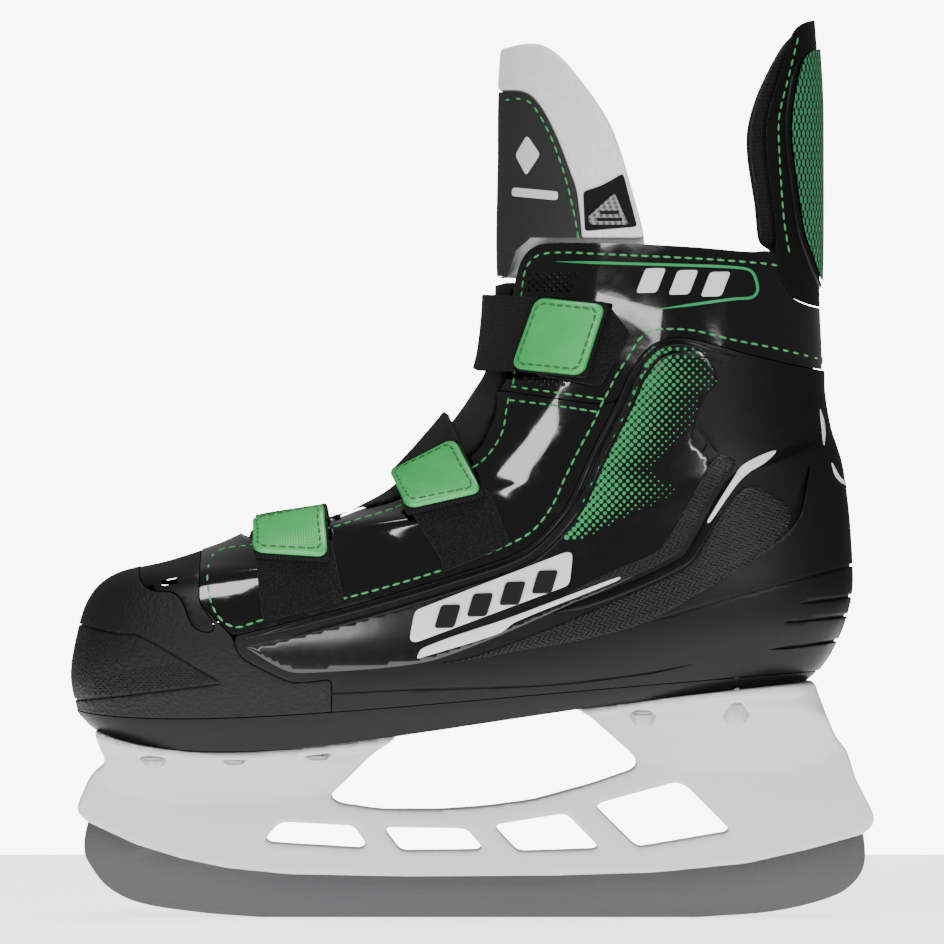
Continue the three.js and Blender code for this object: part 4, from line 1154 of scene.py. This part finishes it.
sideCloth = outline([[30.6, 188.4], [30.1, 199.2]], [[30.1, 199.2], [35.4, 201], [41, 204.2]],
                    [[41, 204.2], [44.9, 189.6]], [[44.9, 189.6], [30.6, 188.4]], step=0.8, rounding=1)
place(bothSides("tongueSideCloth", sideCloth, -1.4, 0.0, 0.25), "tongue_top",
      looks["tongue"])
labelOutline = softened([[31.6, 192.2], [38.8, 198.8], [42.6, 190.2], [32.2, 190.2]], 1, 0.6)
place(patch("sizeLabel", [labelOutline], sides[-1], -0.3, 0.35, 0.1, 1.0), "tongue_top",
      looks["label"], ["size_label"])
bars = [ribbon([[34.2 + 0.8 * k, z], [40.9 - 0.9 * k, z]], 0.9, 0.5) for k, z in enumerate((191.6, 193.5))]
place(join("labelBars", [patch("bar", [bar], sides[-1], 0.1, 0.5, 0.08, 0.8) for bar in bars]),
      "tongue_top",
      looks["dark"])
emblem = [softened(points, 2, 0.6)
          for points in ([[14.6, 214.6], [18.2, 209.4], [14.4, 203.6], [11.4, 209.2]],
                                                  [[10.6, 200.4], [23.2, 199.2], [23.0, 196.8],
                                                   [10.4, 198.0]])]
place(join("tongueEmblem", [patch("mark", [shape], sides[-1], -0.9, -0.38, 0.1, 1.0) for shape in emblem]),
      "tongue_top", looks["white"])
print("lining and tongue made")

# ---- straps, loop patches and pull tabs ----
strapSizes = {"loop": (0.3, 1.6), "strap": (1.9, 3.6), "anchor": (1.1, 2.6), "tab": (3.9, 5.4),
              "play": 0.15}
straps = {
    "toe": {
        "edges": [[[-59.8, 130], [-59.4, 80]], [[-41.3, 130], [-37.4, 80]]],
        "peel": [[-59.8, 108.9], [-40.9, 112.4]],
        "sewn": [[-39, 99.3], [-59.4, 100.6]],
        "anchorEnd": [[-57.9, 87.5], [-36.6, 88.8]],
        "loop": [[-59.2, 104], [-57.1, 85.2], [-56.4, 82.2], [-34.4, 87.8], [-35.2, 90], [-38, 104]],
    },
    "middle": {
        "edges": [[[-38, 141], [-22.4, 122.5], [-17.8, 112.3], [-9, 93]],
                  [[-14, 152], [-4.2, 131.5], [3.2, 117], [14, 98]]],
        "peel": [[-21.2, 122], [-5.4, 130.6]],
        "sewn": [[3.1, 117], [-17.3, 112.3]],
        "anchorEnd": [[-9.6, 98.4], [10.4, 103.6]],
        "loop": [[-18.6, 115], [-7.8, 98], [-8.9, 95.4], [0.1, 98.8], [10.4, 103.4], [4.6, 118]],
    },
    "ankle": {
        "edges": [[[-12, 150.8], [11.5, 150.6], [44, 147.4]], [[-12, 171.4], [18.6, 170.5], [50, 167.2]]],
        "peel": [[11.7, 151.5], [18.1, 170]],
        "sewn": [[36.9, 168.1], [30.9, 149.2]],
        "anchorEnd": [[42.2, 147.8], [47.6, 166.4]],
        "loop": [[19.6, 170], [36.3, 169.2], [43, 160.6], [35.2, 146], [17.5, 148.9]],
    },
}


def roundedBox(lowU, highU, lowV, highV, radius, step=0.8):
    corners = []
    for cu, cv, start in ((highU - radius, lowV + radius, -90), (highU - radius, highV - radius, 0),
                          (lowU + radius, highV - radius, 90), (lowU + radius, lowV + radius, 180)):
        for angle in np.radians(np.linspace(start, start + 90, 7)):
            corners.append([cu + radius * math.cos(angle), cv + radius * math.sin(angle)])
    return evenly(np.array(corners + corners[:1]), step, True)


tabLines = {}
for name, sizes in straps.items():
    play = strapSizes["play"]
    tipBand = Band(sizes["edges"], [(sizes["sewn"], -1), (sizes["peel"], -1)], 3.6, 60)
    mainBand = Band(sizes["edges"], [(sizes["peel"], -1), (sizes["sewn"], 1)], 3.6, 120)
    anchorBand = Band(sizes["edges"], [(sizes["sewn"], 1), (sizes["anchorEnd"], 1)], 2.6, 60)
    for part, band, body, height, radius, ends in (
            ("strap", mainBand, name + "_band", "strap", 0.3, (play, play)),
            ("strap_tip", tipBand, name + "_tip", "strap", 0.6, (0, play)),
            ("strap_anchor", anchorBand, "boot", "anchor", 0.6, (play, 0))):
        base, top = strapSizes[height]
        shape = roundedBox(ends[0], band.reach - ends[1], 0, band.width, radius)
        node = name + "_" + part
        place(patch(node + "_webbing", [shape], band, base, top, 0.55, 1.5), body,
              looks["webbing"], [node])
    base, top = strapSizes["tab"]
    shape = roundedBox(0.5, tipBand.reach - play, 0.2, tipBand.width - 0.2, 2.8, 0.7)
    place(patch(name + "_tab_piece", [shape], tipBand, base, top, 0.6, 1.4), name + "_tip",
          looks["tab"], [name + "_pull_tab"])
    tabLines[name] = (roundedBox(2.1, tipBand.reach - play - 1.6, 1.8, tipBand.width - 1.8, 2.0, 2.6),
                      tipBand, top)
    base, top = strapSizes["loop"]
    loopShape = softened(sizes["loop"])
    place(patch(name + "_loop_piece", [loopShape], sides[-1], base, top, 0.5, 1.4), "boot",
          looks["loop"], [name + "_loop_patch"])
print("straps made")


# ---- small repeated shapes, one node tree for them all ----
def scatterTree():
    tree = bpy.data.node_groups.new("scatter", "GeometryNodeTree")
    sockets = {}
    for title, kind in (("Geometry", "NodeSocketGeometry"), ("Shape", "NodeSocketObject"),
                        ("Length", "NodeSocketFloat"),
                        ("Width", "NodeSocketFloat"), ("Height", "NodeSocketFloat"),
                        ("Finish", "NodeSocketMaterial")):
        sockets[title] = tree.interface.new_socket(title, in_out="INPUT", socket_type=kind).identifier
    tree.interface.new_socket("Geometry", in_out="OUTPUT", socket_type="NodeSocketGeometry")

    def add(kind, settings=None, links=None):
        node = tree.nodes.new(kind)
        for key, value in (settings or {}).items():
            setattr(node, key, value)
        for key, value in (links or {}).items():
            if isinstance(value, bpy.types.NodeSocket):
                tree.links.new(value, node.inputs[key])
            else:
                node.inputs[key].default_value = value
        return node

    given = add("NodeGroupInput").outputs
    way = add("GeometryNodeInputNamedAttribute", {"data_type": "FLOAT_VECTOR"}, {"Name": "way"})
    up = add("GeometryNodeInputNamedAttribute", {"data_type": "FLOAT_VECTOR"}, {"Name": "up"})
    grow = add("GeometryNodeInputNamedAttribute", {"data_type": "FLOAT"}, {"Name": "grow"})
    turn = add("FunctionNodeAxesToRotation", {"primary_axis": "Z", "secondary_axis": "X"},
               {0: up.outputs[0], 1: way.outputs[0]})
    size = add("ShaderNodeCombineXYZ", {}, {0: given["Length"], 1: given["Width"], 2: given["Height"]})
    scaled = add("ShaderNodeVectorMath", {"operation": "SCALE"},
                 {0: size.outputs[0], "Scale": grow.outputs[0]})
    shape = add("GeometryNodeObjectInfo", {}, {"Object": given["Shape"]})
    spread = add("GeometryNodeInstanceOnPoints", {},
                 {"Points": given["Geometry"], "Instance": shape.outputs["Geometry"],
                                                     "Rotation": turn.outputs[0], "Scale": scaled.outputs[0]})
    real = add("GeometryNodeRealizeInstances", {}, {0: spread.outputs[0]})
    finished = add("GeometryNodeSetMaterial", {}, {0: real.outputs[0], "Material": given["Finish"]})
    add("NodeGroupOutput", {}, {0: finished.outputs[0]})
    return tree, sockets


scatterNodes, scatterSockets = scatterTree()


def scatter(name, shape, spots, size, material):         # spots: arrays of place, way, up in mm, and grow
    points = np.vstack([s[0] for s in spots])
    mesh = bpy.data.meshes.new(name)
    mesh.from_pydata([Vector(p) * mm for p in points], [], [])
    for key, index, kind in (("way", 1, "FLOAT_VECTOR"), ("up", 2, "FLOAT_VECTOR"), ("grow", 3, "FLOAT")):
        values = np.concatenate([np.asarray(s[index], np.float32).ravel() for s in spots])
        field = "value" if kind == "FLOAT" else "vector"
        mesh.attributes.new(key, kind, "POINT").data.foreach_set(field, values)
    thing = bpy.data.objects.new(name, mesh)
    bpy.context.scene.collection.objects.link(thing)
    nodes = thing.modifiers.new("scatter", "NODES")
    nodes.node_group = scatterNodes
    nodes[scatterSockets["Shape"]] = shape
    for key, value in zip(("Length", "Width", "Height"), size):
        nodes[scatterSockets[key]] = float(value)
    nodes[scatterSockets["Finish"]] = material
    return applyModifiers(thing)


# lathe about Z, profile from the lower pole to the upper
def turned(name, profile, count):
    angles = 2 * math.pi * np.arange(count) / count
    points, faces, rings = [], [], []
    for radius, z in profile:
        if radius < 1e-6:
            rings.append([len(points)] * count)
            points.append([0, 0, z])
        else:
            rings.append(list(range(len(points), len(points) + count)))
            points += [[radius * math.cos(a), radius * math.sin(a), z] for a in angles]
    for low, high in zip(rings, rings[1:]):
        for i in range(count):
            j = (i + 1) % count
            faces.append(tuple(dict.fromkeys((low[i], low[j], high[j], high[i]))))
    return turnOut(newObject(name, np.array(points), faces))


def rounded(count):                                      # profile of a round bead of unit half sizes
    return [(abs(math.cos(a)), math.sin(a)) for a in np.radians(np.linspace(-90, 90, count))]


bead = turned("beadShape", [(0 if i in (0, 4) else r, z) for i, (r, z) in enumerate(rounded(5))], 8)
stitchSizes = {"length": 1.15, "radius": 0.24, "pitch": 2.95}


def spotsOn(points, mapper, height, ways=None, grow=1.0):
    points = np.asarray(points, float)
    ways = np.tile([1.0, 0.0], (len(points), 1)) if ways is None else ways
    here = mapper(points, np.full(len(points), height))
    ahead = mapper(points + ways * 0.4, np.full(len(points), height)) - here
    above = mapper(points, np.full(len(points), height + 1.0)) - here
    return here, ahead, above, np.broadcast_to(np.asarray(grow, float), len(points))


def stitchSpots(line, mapper, height, closed=False):
    path = np.array(line, float) if closed else evenly(smoothRun(line), stitchSizes["pitch"])
    ways = np.roll(path, -1, 0) - np.roll(path, 1, 0) if closed else np.gradient(path, axis=0)
    ways /= np.linalg.norm(ways, axis=1, keepdims=True)
    return spotsOn(path, mapper, height, ways)


def sew(name, spotRows, body, finish="thread"):
    half, radius = stitchSizes["length"], stitchSizes["radius"]
    thing = scatter(name, bead, spotRows, (half, radius * 1.3, radius), looks[finish])
    return place(thing, body, looks[finish])


seamStitches = {
    "rim": [[97, 152.9], [91.3, 154.4], [81.7, 156.7], [70.3, 159], [60.8, 161.3], [55.1, 161.8],
            [48.8, 161.3],
            [45.5, 159], [42.8, 154.5], [39.7, 149.9], [37.2, 145], [35.5, 141.8], [33.3, 136.8],
            [29.2, 129.2],
            [25.1, 120.9], [21.7, 113.6], [16.7, 107.2], [11.3, 103.9], [1.8, 99.9], [-8.3, 96.3],
            [-24.9, 91.3],
            [-49.5, 84.9], [-57.8, 82.6], [-64.5, 80.9], [-69.5, 84.5], [-71.9, 92.6], [-71.2, 99.3],
            [-68.2, 101.4],
            [-60.8, 102.6], [-46, 105.8], [-38.4, 107.6], [-30.7, 109.9], [-20.7, 113], [-9, 118.6],
            [1.9, 125],
            [5.9, 129.3], [8.4, 133.9], [9.4, 139.4], [9.9, 142]],
    "seam": [[11.5, 145.9], [19.4, 144.9], [27.1, 143.9], [35, 142.8]],
    "seamLow": [[11, 142.2], [19.4, 141.3], [27.1, 140.3], [33, 139.4]],
    "collar": [[82.4, 179.2], [79.6, 179.6], [74.1, 180.1], [62.7, 180.9], [51.3, 181.5], [35, 182.2],
               [24.1, 182.6],
               [18.1, 181.8], [15, 178.6], [13.9, 173.8], [12.9, 163], [12, 152], [11.4, 147.4]],
    "guard": [[88.8, 240.3], [86.4, 230.7], [83.7, 219.5], [83.7, 211.1], [84.3, 200.7], [85.2, 190.4],
              [86.4, 183.6]],
    "cover": [[9.3, 224.4], [12.4, 224.6], [15.4, 223.6], [18.1, 220], [21, 214.6], [23.4, 208.4],
              [25.4, 202.2],
              [27.6, 193], [28.6, 187.4]],
}
spotRows = [stitchSpots(seamStitches[key], sides[s], 0.1) for s in both
            for key in ("rim", "seam", "seamLow", "collar")]
sew("upperStitches", spotRows, "boot")
sew("guardStitches", [stitchSpots(seamStitches["guard"], sides[s], 0.1) for s in both], "guard")
sew("coverStitches", [stitchSpots(seamStitches["cover"], sides[s], -0.5) for s in both], "tongue_top")
for name, (line, band, height) in tabLines.items():
    sew(name + "TabStitches", [stitchSpots(line, band, height + 0.05, True)], name + "_tip",
        "threadDark")

punched = {"pitch": 2.1, "radius": 0.62,
           "zones": [[[14.8, 176.9], [28.8, 177], [27.4, 172.4], [14.6, 171.4]],
                                                   [[13.4, 149.4], [29.5, 148], [30.4, 145.6],
                                                    [13.4, 147.1]]]}


def within(points, polygon):
    polygon = np.asarray(polygon, float)
    following = np.roll(polygon, -1, 0)
    inside = np.zeros(len(points), bool)
    for (ax, az), (bx, bz) in zip(polygon, following):
        crosses = (az > points[:, 1]) != (bz > points[:, 1])
        if az != bz:
            inside ^= crosses & (points[:, 0] < (bx - ax) * (points[:, 1] - az) / (bz - az) + ax)
    return inside


def lattice(polygon, across, up):
    low, high = np.min(polygon, 0), np.max(polygon, 0)
    points = np.array([(x + (r % 2) * across / 2, z) for r, z in enumerate(np.arange(low[1], high[1], up))
                       for x in np.arange(low[0], high[0], across)])
    return points[within(points, polygon)]


spotRows = [spotsOn(lattice(zone, punched["pitch"], punched["pitch"] / 2), sides[s], 0.0)
        for s in both for zone in punched["zones"]]
place(scatter("upperBumps", bead, spotRows, (punched["radius"], punched["radius"], 0.35), looks["bead"]),
      "boot",
      looks["bead"])

dots = {
    "across": 2.08,
    "up": 1.09,
    "zone": [[47.3, 156.2], [55.3, 157.4], [63, 156.8], [66.8, 147.5], [61.4, 143.2], [60.6, 136],
             [57.4, 133.5],
             [52.6, 127.6], [47.2, 123.5], [55.2, 118.6], [54.8, 116.6], [45.8, 112.6], [37.8, 108.5],
             [29.3, 104.1],
             [24.6, 104.6], [27.6, 109], [31.4, 116.4], [36.8, 128.2], [42.5, 140.4], [46.4, 150.2]],
    "large": 0.78,
    "small": 0.2,
}
spots = lattice(dots["zone"], dots["across"], dots["up"])
leftEdge = np.interp(spots[:, 1], [104.6, 109, 116.4, 128.2, 140.4, 150.2, 156.2],
                     [24.6, 27.6, 31.4, 36.8, 42.5, 46.4, 48])
rightEdge = np.interp(spots[:, 1], [104.1, 108.5, 112.6, 118.6, 123.5, 127.6, 133.5, 143.2, 147.5, 156.8],
                      [29.3, 37.8, 45.8, 55.2, 47.2, 52.6, 57.4, 61.4, 66.8, 63])
share = np.clip((spots[:, 0] - leftEdge) / np.maximum(rightEdge - leftEdge, 1), 0, 1)
grow = dots["large"] + (dots["small"] - dots["large"]) * share ** 1.2
spotRows = [spotsOn(spots, sides[s], 1.12, grow=grow) for s in both]
place(scatter("printedDots", bead, spotRows, (1, 1, 0.18), looks["dots"]), "boot",
      looks["dots"])

knurl = lattice(toeCap["wedge"], 1.5, 0.66)
spotRows = [spotsOn(knurl, sides[s], 0.0, np.tile([0.94, 0.34], (len(knurl), 1))) for s in both]
place(scatter("capKnurl", bead, spotRows, (0.62, 0.3, 0.28), looks["pebbled"]), "boot",
      looks["pebbled"])
print("stitches and dots made")

# ---- printed marks ----
printed = {
    "frame": [[22.7, 180.1], [42, 179.6], [62.2, 179], [73, 178.4], [76.3, 177.4], [77.9, 172.2],
              [76.4, 170.4],
              [71.7, 170], [49.4, 167]],
    "slashes": [[44.6, 171.6], [53.4, 171.1], [62.2, 170.6]],
    "slashSize": (5.6, 6.8, 2.6),
    "badgeBars": [[-10.4, 80.6], [-1.6, 83.7], [7.2, 86.8], [16, 89.9]],
    "badgeBarSize": (5.4, 6.4, 1.9),
}


def slanted(corner, size):
    x, z = corner
    width, tall, lean = size
    points = [[x, z], [x + width, z + 0.1], [x + width + lean, z + tall], [x + lean, z + tall - 0.1]]
    return softened(points, 2, 0.6)


frames = [patch("frame", [evenly(ribbon(printed["frame"], 0.75, taper=0.12), 0.5, True)], sides[s], -0.2,
                0.16, 0.06, 0.8)
          for s in both]
place(join("quarterFrame", frames), "boot", looks["green"])
slashes = [patch("slash", [slanted(c, printed["slashSize"])], sides[s], -0.2, 0.2, 0.08, 1.0)
           for s in both for c in printed["slashes"]]
place(join("quarterSlashes", slashes), "boot", looks["white"])
barMarks = [patch("bar", [slanted(c, printed["badgeBarSize"])], sides[s], 1.0, 2.1, 0.08, 1.0)
            for s in both for c in printed["badgeBars"]]
place(join("badgeBars", barMarks), "boot", looks["dark"])

# ---- holder ----
holder = {
    "outline": [[-103.9, 62], [-103.5, 51.4], [-102.1, 47.3], [-100.2, 43], [-104.9, 38.9], [-108.3, 31],
                [-108.3, 28.8], [-105.5, 26.4], [-92.2, 20.2], [-79.6, 16.3], [-67, 13.7], [-50.2, 12],
                [-16.7, 11.4],
                [24.9, 11.7], [50.2, 12.5], [75.4, 15], [92.1, 18.8], [107.3, 23], [110.3, 25.6],
                [110.3, 28.5],
                [105.1, 38.5], [103.1, 45.7], [99.7, 49.8], [97.2, 55.8], [94.2, 63.6], [94.2, 75],
                [25.8, 75],
                [25.8, 58.6], [30.9, 56.6], [44.3, 44.8], [45.6, 42.3], [44.3, 40.6], [33.3, 36.8],
                [16.6, 32.2],
                [3.9, 30.5], [-8.6, 29.6], [-25, 29.6], [-36.9, 31.3], [-39.3, 33.5], [-33.4, 38.9],
                [-26.8, 45.7],
                [-20.6, 49.5], [-20.6, 62]],
    "windows": [[[-57.8, 20.6], [-52.7, 26.4], [-32.4, 25.4], [-28, 18.8]],
                [[-24.6, 25], [-1.5, 24.6], [3.7, 18.5], [-19.6, 18.2]],
                [[5.7, 25.5], [25.8, 28.8], [35.5, 18.8], [12.6, 18]],
                [[33.3, 31.1], [56.1, 37.4], [58.9, 36.2], [71.4, 23.6], [45.4, 19.2]]],
    "webHalf": 6.5,
    "flange": 2.3,
    "frontTower": [(-106, -36, 5.5, 30), (-107, -30, 9.5, 38), (-106, -24, 14, 43), (-105, -21, 22, 47),
                   (-105, -21, 24, 60)],
    "rearTower": [(38, 106, 5.5, 38), (33, 106, 10, 50), (29, 102, 14, 55), (26, 97, 19, 59),
                  (26, 96, 21, 74)],
    "flanges": [(-104.5, -20.6, 27), (25.8, 94.6, 23)],
    "voxel": 0.78,
}
runner = {
    "outline": [[-105, 28], [-106.4, 22], [-106.4, 17.4], [-105.4, 15.2], [-100.5, 8.7], [-92.1, 4.2],
                [-75.5, 1.4],
                [-58.6, 0]],
    "back": [[62.7, 0], [83.9, 1.8], [100.5, 6.3], [106.3, 11.2], [108, 16.3], [107.4, 24]],
    "top": [[107.4, 24], [94, 26.5], [60, 20], [20, 17], [-50, 17], [-78, 22.6], [-96, 28.6], [-105, 28]],
    "half": 1.5,
    "play": 0.3,
    "lugFoot": 16,
    "lugTop": 12,
}
fasteners = {
    "rivets": [[-87.2, 15], [-64.9, 19], [-42, 19], [46.6, 14.5], [72.2, 15.5]],
    "rivetHead": 3.2,
    "rivetShank": 1.5,
    "studs": [[-72, 36], [82, 41]],
    "studHead": 3.5,
    "studShank": 2.0,
    "headHeight": 2.4,
    "seat": 3.0,
}


def oval(x0, x1, half, z, power=3):
    cosine = np.cos(2 * math.pi * soleTurns)
    y = np.where(soleTurns < 0.5, 1, -1) * half * np.maximum(0, 1 - np.abs(cosine) ** power) ** (1 / power)
    return np.stack([x0 + (x1 - x0) * (1 - cosine) / 2, y, np.full(len(soleTurns), z)], -1)


def tower(rings):
    table = smoothTable(np.array(rings, float), 8)
    return loft("tower", [oval(*row) for row in table])


def smoothTable(table, splits):
    padded = np.vstack([2 * table[0] - table[1], table, 2 * table[-1] - table[-2]])
    out = []
    for i in range(len(table) - 1):
        a, b, c, d = padded[i:i + 4]
        for t in np.arange(splits) / splits:
            out.append(0.5 * (2 * b + (c - a) * t + (2 * a - 5 * b + 4 * c - d) * t ** 2
                              + (3 * b - a - 3 * c + d) * t ** 3))
    out.append(table[-1])
    return out


def flangePlate(x0, x1, half):
    xs = np.linspace(x0, x1, 40)
    side = np.vstack([np.stack([xs, soleHeight(xs) + 3], -1),
                      np.stack([xs, soleHeight(xs) - gap - holder["flange"]], -1)[::-1]])
    return combine(prism(side), loft("plan", [oval(x0, x1, half, 20), oval(x0, x1, half, 90)]), "INTERSECT")


def post(x, y, low, high, radius, count=32):
    angles = 2 * math.pi * np.arange(count) / count
    ring = np.stack([x + radius * np.cos(angles), y + radius * np.sin(angles), np.full(count, low)], -1)
    return loft("post", [ring, ring + [0, 0, high - low]])


def lug(x, top, grow=0.0):
    foot, crown = runner["lugFoot"] / 2 + grow, runner["lugTop"] / 2 + grow
    return np.array([[x - foot, 17], [x + foot, 17], [x + crown, top + grow], [x - crown, top + grow]])


body = prism(softened(holder["outline"]), -holder["webHalf"], holder["webHalf"])
for other in ([tower(holder["frontTower"]), tower(holder["rearTower"])]
              + [flangePlate(*row) for row in holder["flanges"]]):
    combine(body, other, "UNION")
combine(body, prism(softened(holder["outline"])), "INTERSECT")
xs = np.linspace(-114, 114, 90)
soleBlock = np.vstack([np.stack([xs, soleHeight(xs) - gap], -1), [[114, 120], [-114, 120]]])
combine(body, prism(soleBlock), "DIFFERENCE")
for points in holder["windows"]:
    combine(body, prism(softened(points)), "DIFFERENCE")
plump(body, holder["voxel"], 3, 0.5)
runnerShape = outline(runner["outline"], [[-58.6, 0], [62.7, 0]], runner["back"],
                      *[runner["top"][i:i + 2] for i in range(len(runner["top"]) - 1)], step=1.2,
                      rounding=1)
half, play = runner["half"], runner["play"]
cuts = [prism(inset(runnerShape, -play), -half - play, half + play)]
cuts += [prism(lug(x, top, play), -half - play, half + play) for x, top in fasteners["studs"]]
cuts += [post(x, 0, top - 6, top + 0.6, fasteners["studHead"] + play) for x, top in fasteners["studs"]]
cuts += [post(x, 0, 20, 100, fasteners["studShank"] + play) for x, _ in fasteners["studs"]]
for x, y in fasteners["rivets"]:
    seat = min(soleHeight(x - 3.2), soleHeight(x + 3.2)) - gap - holder["flange"]
    for side in both:
        cuts += [post(x, y * side, seat - 30, seat, fasteners["rivetHead"] + 0.5),
                 post(x, y * side, seat - 5, 100, fasteners["rivetShank"] + play)]
for cut in cuts:
    combine(body, cut, "DIFFERENCE")
body.name = "bladeHolder"
place(body, "boot", looks["holder"], ["blade_holder"], crease=50)

blade = prism(runnerShape, -half, half)
for x, top in fasteners["studs"]:
    combine(blade, prism(lug(x, top), -half, half), "UNION")
for x, top in fasteners["studs"]:
    seat = top - fasteners["seat"]
    head, shank = fasteners["studHead"] + play, fasteners["studShank"] + play
    low = seat - fasteners["headHeight"] - play
    combine(blade, prism(np.array([[x - head, low], [x + head, low], [x + head, seat + play],
                                   [x - head, seat + play]])),
            "DIFFERENCE")
    combine(blade, prism(np.array([[x - shank, seat], [x + shank, seat], [x + shank, top + 3],
                                   [x - shank, top + 3]])),
            "DIFFERENCE")
blade.name = "steelRunner"
place(softEdges(blade, 0.22), "boot", looks["steel"], ["steel_runner"])

rivetShape = [(0, -1.2), (0.4, -1.2), (0.72, -1.0), (0.92, -0.55), (1, 0), (0.47, 0), (0.47, 3.2),
              (0.9, 3.2),
              (0.78, 3.8), (0.55, 4.15), (0, 4.15)]
spotRows = []
for k, (x, y) in enumerate(fasteners["rivets"]):
    seat = min(soleHeight(x - 3.2), soleHeight(x + 3.2)) - 2 * gap - holder["flange"]
    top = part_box("rivet_outer_%d" % (k + 1))[1][2] * 1000
    for side in both:
        spotRows.append((np.array([[x, y * side, seat]]), np.array([[1.0, 0, 0]]), np.array([[0, 0, 1.0]]),
                         np.array([1.0])))
shape = turned("rivetShape", [(r * fasteners["rivetHead"], z if z <= 0 else z - 3.2 + (top - seat - 0.95))
                              for r, z in
                              rivetShape], 20)
rivetNodes = ["rivet_%s_%d" % (side, k) for side in ("outer", "inner") for k in range(1, 6)]
place(scatter("rivets", shape, spotRows, (1, 1, 1), looks["fastener"]), "boot",
      looks["fastener"], rivetNodes)
bpy.data.objects.remove(shape)
bpy.data.objects.remove(bead)
for name, look in (("lasting_board", "board"), ("runner_stud_front", "fastener"),
                   ("runner_stud_rear", "fastener"),
                   ("runner_nut_front", "fastener"), ("runner_nut_rear", "fastener")):
    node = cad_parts[name]
    node.data.materials.clear()
    node.data.materials.append(looks[look])
print("holder and runner made")


# ---- stage ----
stage = {
    "distance": 3.2,
    "width": 0.2568,
    "height": 0.1229,
    "rise": 1.2,
    "surround": 0.15,
    "screen": 11.0,
    "floor": 0.32,
    "floorGlow": 2.0,
    "lamps": [
        ("keyLight", (-0.9, -1.3, 1.25), (0.7, 0.7), 18, (0, 0, 0.12)),
        ("stripLight", (0.75, -1.15, 0.62), (0.14, 1.0), 9, (0.03, 0, 0.12)),
        ("topLight", (0.1, 0.1, 1.5), (0.9, 0.7), 16, (0, 0, 0.1)),
        ("lowStrip", (-0.35, -1.3, 0.1), (0.9, 0.08), 2.5, (0, 0, 0.09)),
    ],
}


def build(kind, name, position, turn=(0, 0, 0), **settings):
    data = bpy.data.lights.new(name, kind)
    for key, value in settings.items():
        setattr(data, key, value)
    lamp = bpy.data.objects.new(name, data)
    lamp.location = position
    lamp.rotation_euler = [math.radians(a) for a in turn]
    bpy.context.scene.collection.objects.link(lamp)
    return lamp


def aim(thing, target):
    thing.rotation_euler = (Vector(target) - thing.location).to_track_quat("-Z", "Y").to_euler()


camera = bpy.data.objects.new("camera", bpy.data.cameras.new("camera"))
camera.data.sensor_width = 36
camera.data.lens = 36 * stage["distance"] / stage["width"]
camera.data.clip_end = 60
rise = math.radians(stage["rise"])
camera.location = (0, -0.03 - stage["distance"] * math.cos(rise),
                   stage["height"] + stage["distance"] * math.sin(rise))
aim(camera, (0, -0.03, stage["height"]))
bpy.context.scene.collection.objects.link(camera)
bpy.context.scene.camera = camera

def sheet(name, corners, colour, roughness, glow):
    mesh = bpy.data.meshes.new(name)
    mesh.from_pydata(corners, [], [(0, 1, 2, 3)])
    thing = bpy.data.objects.new(name, mesh)
    bpy.context.scene.collection.objects.link(thing)
    finish = Finish(name, colour, roughness, Emission_Color=(1, 1, 1, 1), Emission_Strength=glow)
    mesh.materials.append(finish.material)
    thing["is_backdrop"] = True
    return thing


reach = stage["floor"]
sheet("floor", [(-reach, -reach, 0), (reach, -reach, 0), (reach, reach, 0), (-reach, reach, 0)],
      (0.9, 0.9, 0.9), 0.9,
      stage["floorGlow"])

world = bpy.data.worlds.new("studio")
bpy.context.scene.world = world
world.use_nodes = True
sky = world.node_tree.nodes["Background"]
sky.inputs["Color"].default_value = (1, 1, 1, 1)
sky.inputs["Strength"].default_value = stage["surround"]
screen = world.node_tree.nodes.new("ShaderNodeBackground")
screen.inputs["Strength"].default_value = stage["screen"]
seen = world.node_tree.nodes.new("ShaderNodeLightPath")
either = world.node_tree.nodes.new("ShaderNodeMixShader")
for start, end in ((seen.outputs["Is Camera Ray"], either.inputs[0]), (sky.outputs[0], either.inputs[1]),
                   (screen.outputs[0], either.inputs[2]),
                   (either.outputs[0], world.node_tree.nodes["World Output"].inputs[0])):
    world.node_tree.links.new(start, end)

for name, spot, size, power, target in stage["lamps"]:
    lamp = build("AREA", name, spot, shape="RECTANGLE", size=size[0], size_y=size[1], energy=power)
    aim(lamp, target)
print("stage ready")

size = {"cad": cadBox, "visual": [list(corner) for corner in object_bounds()]}
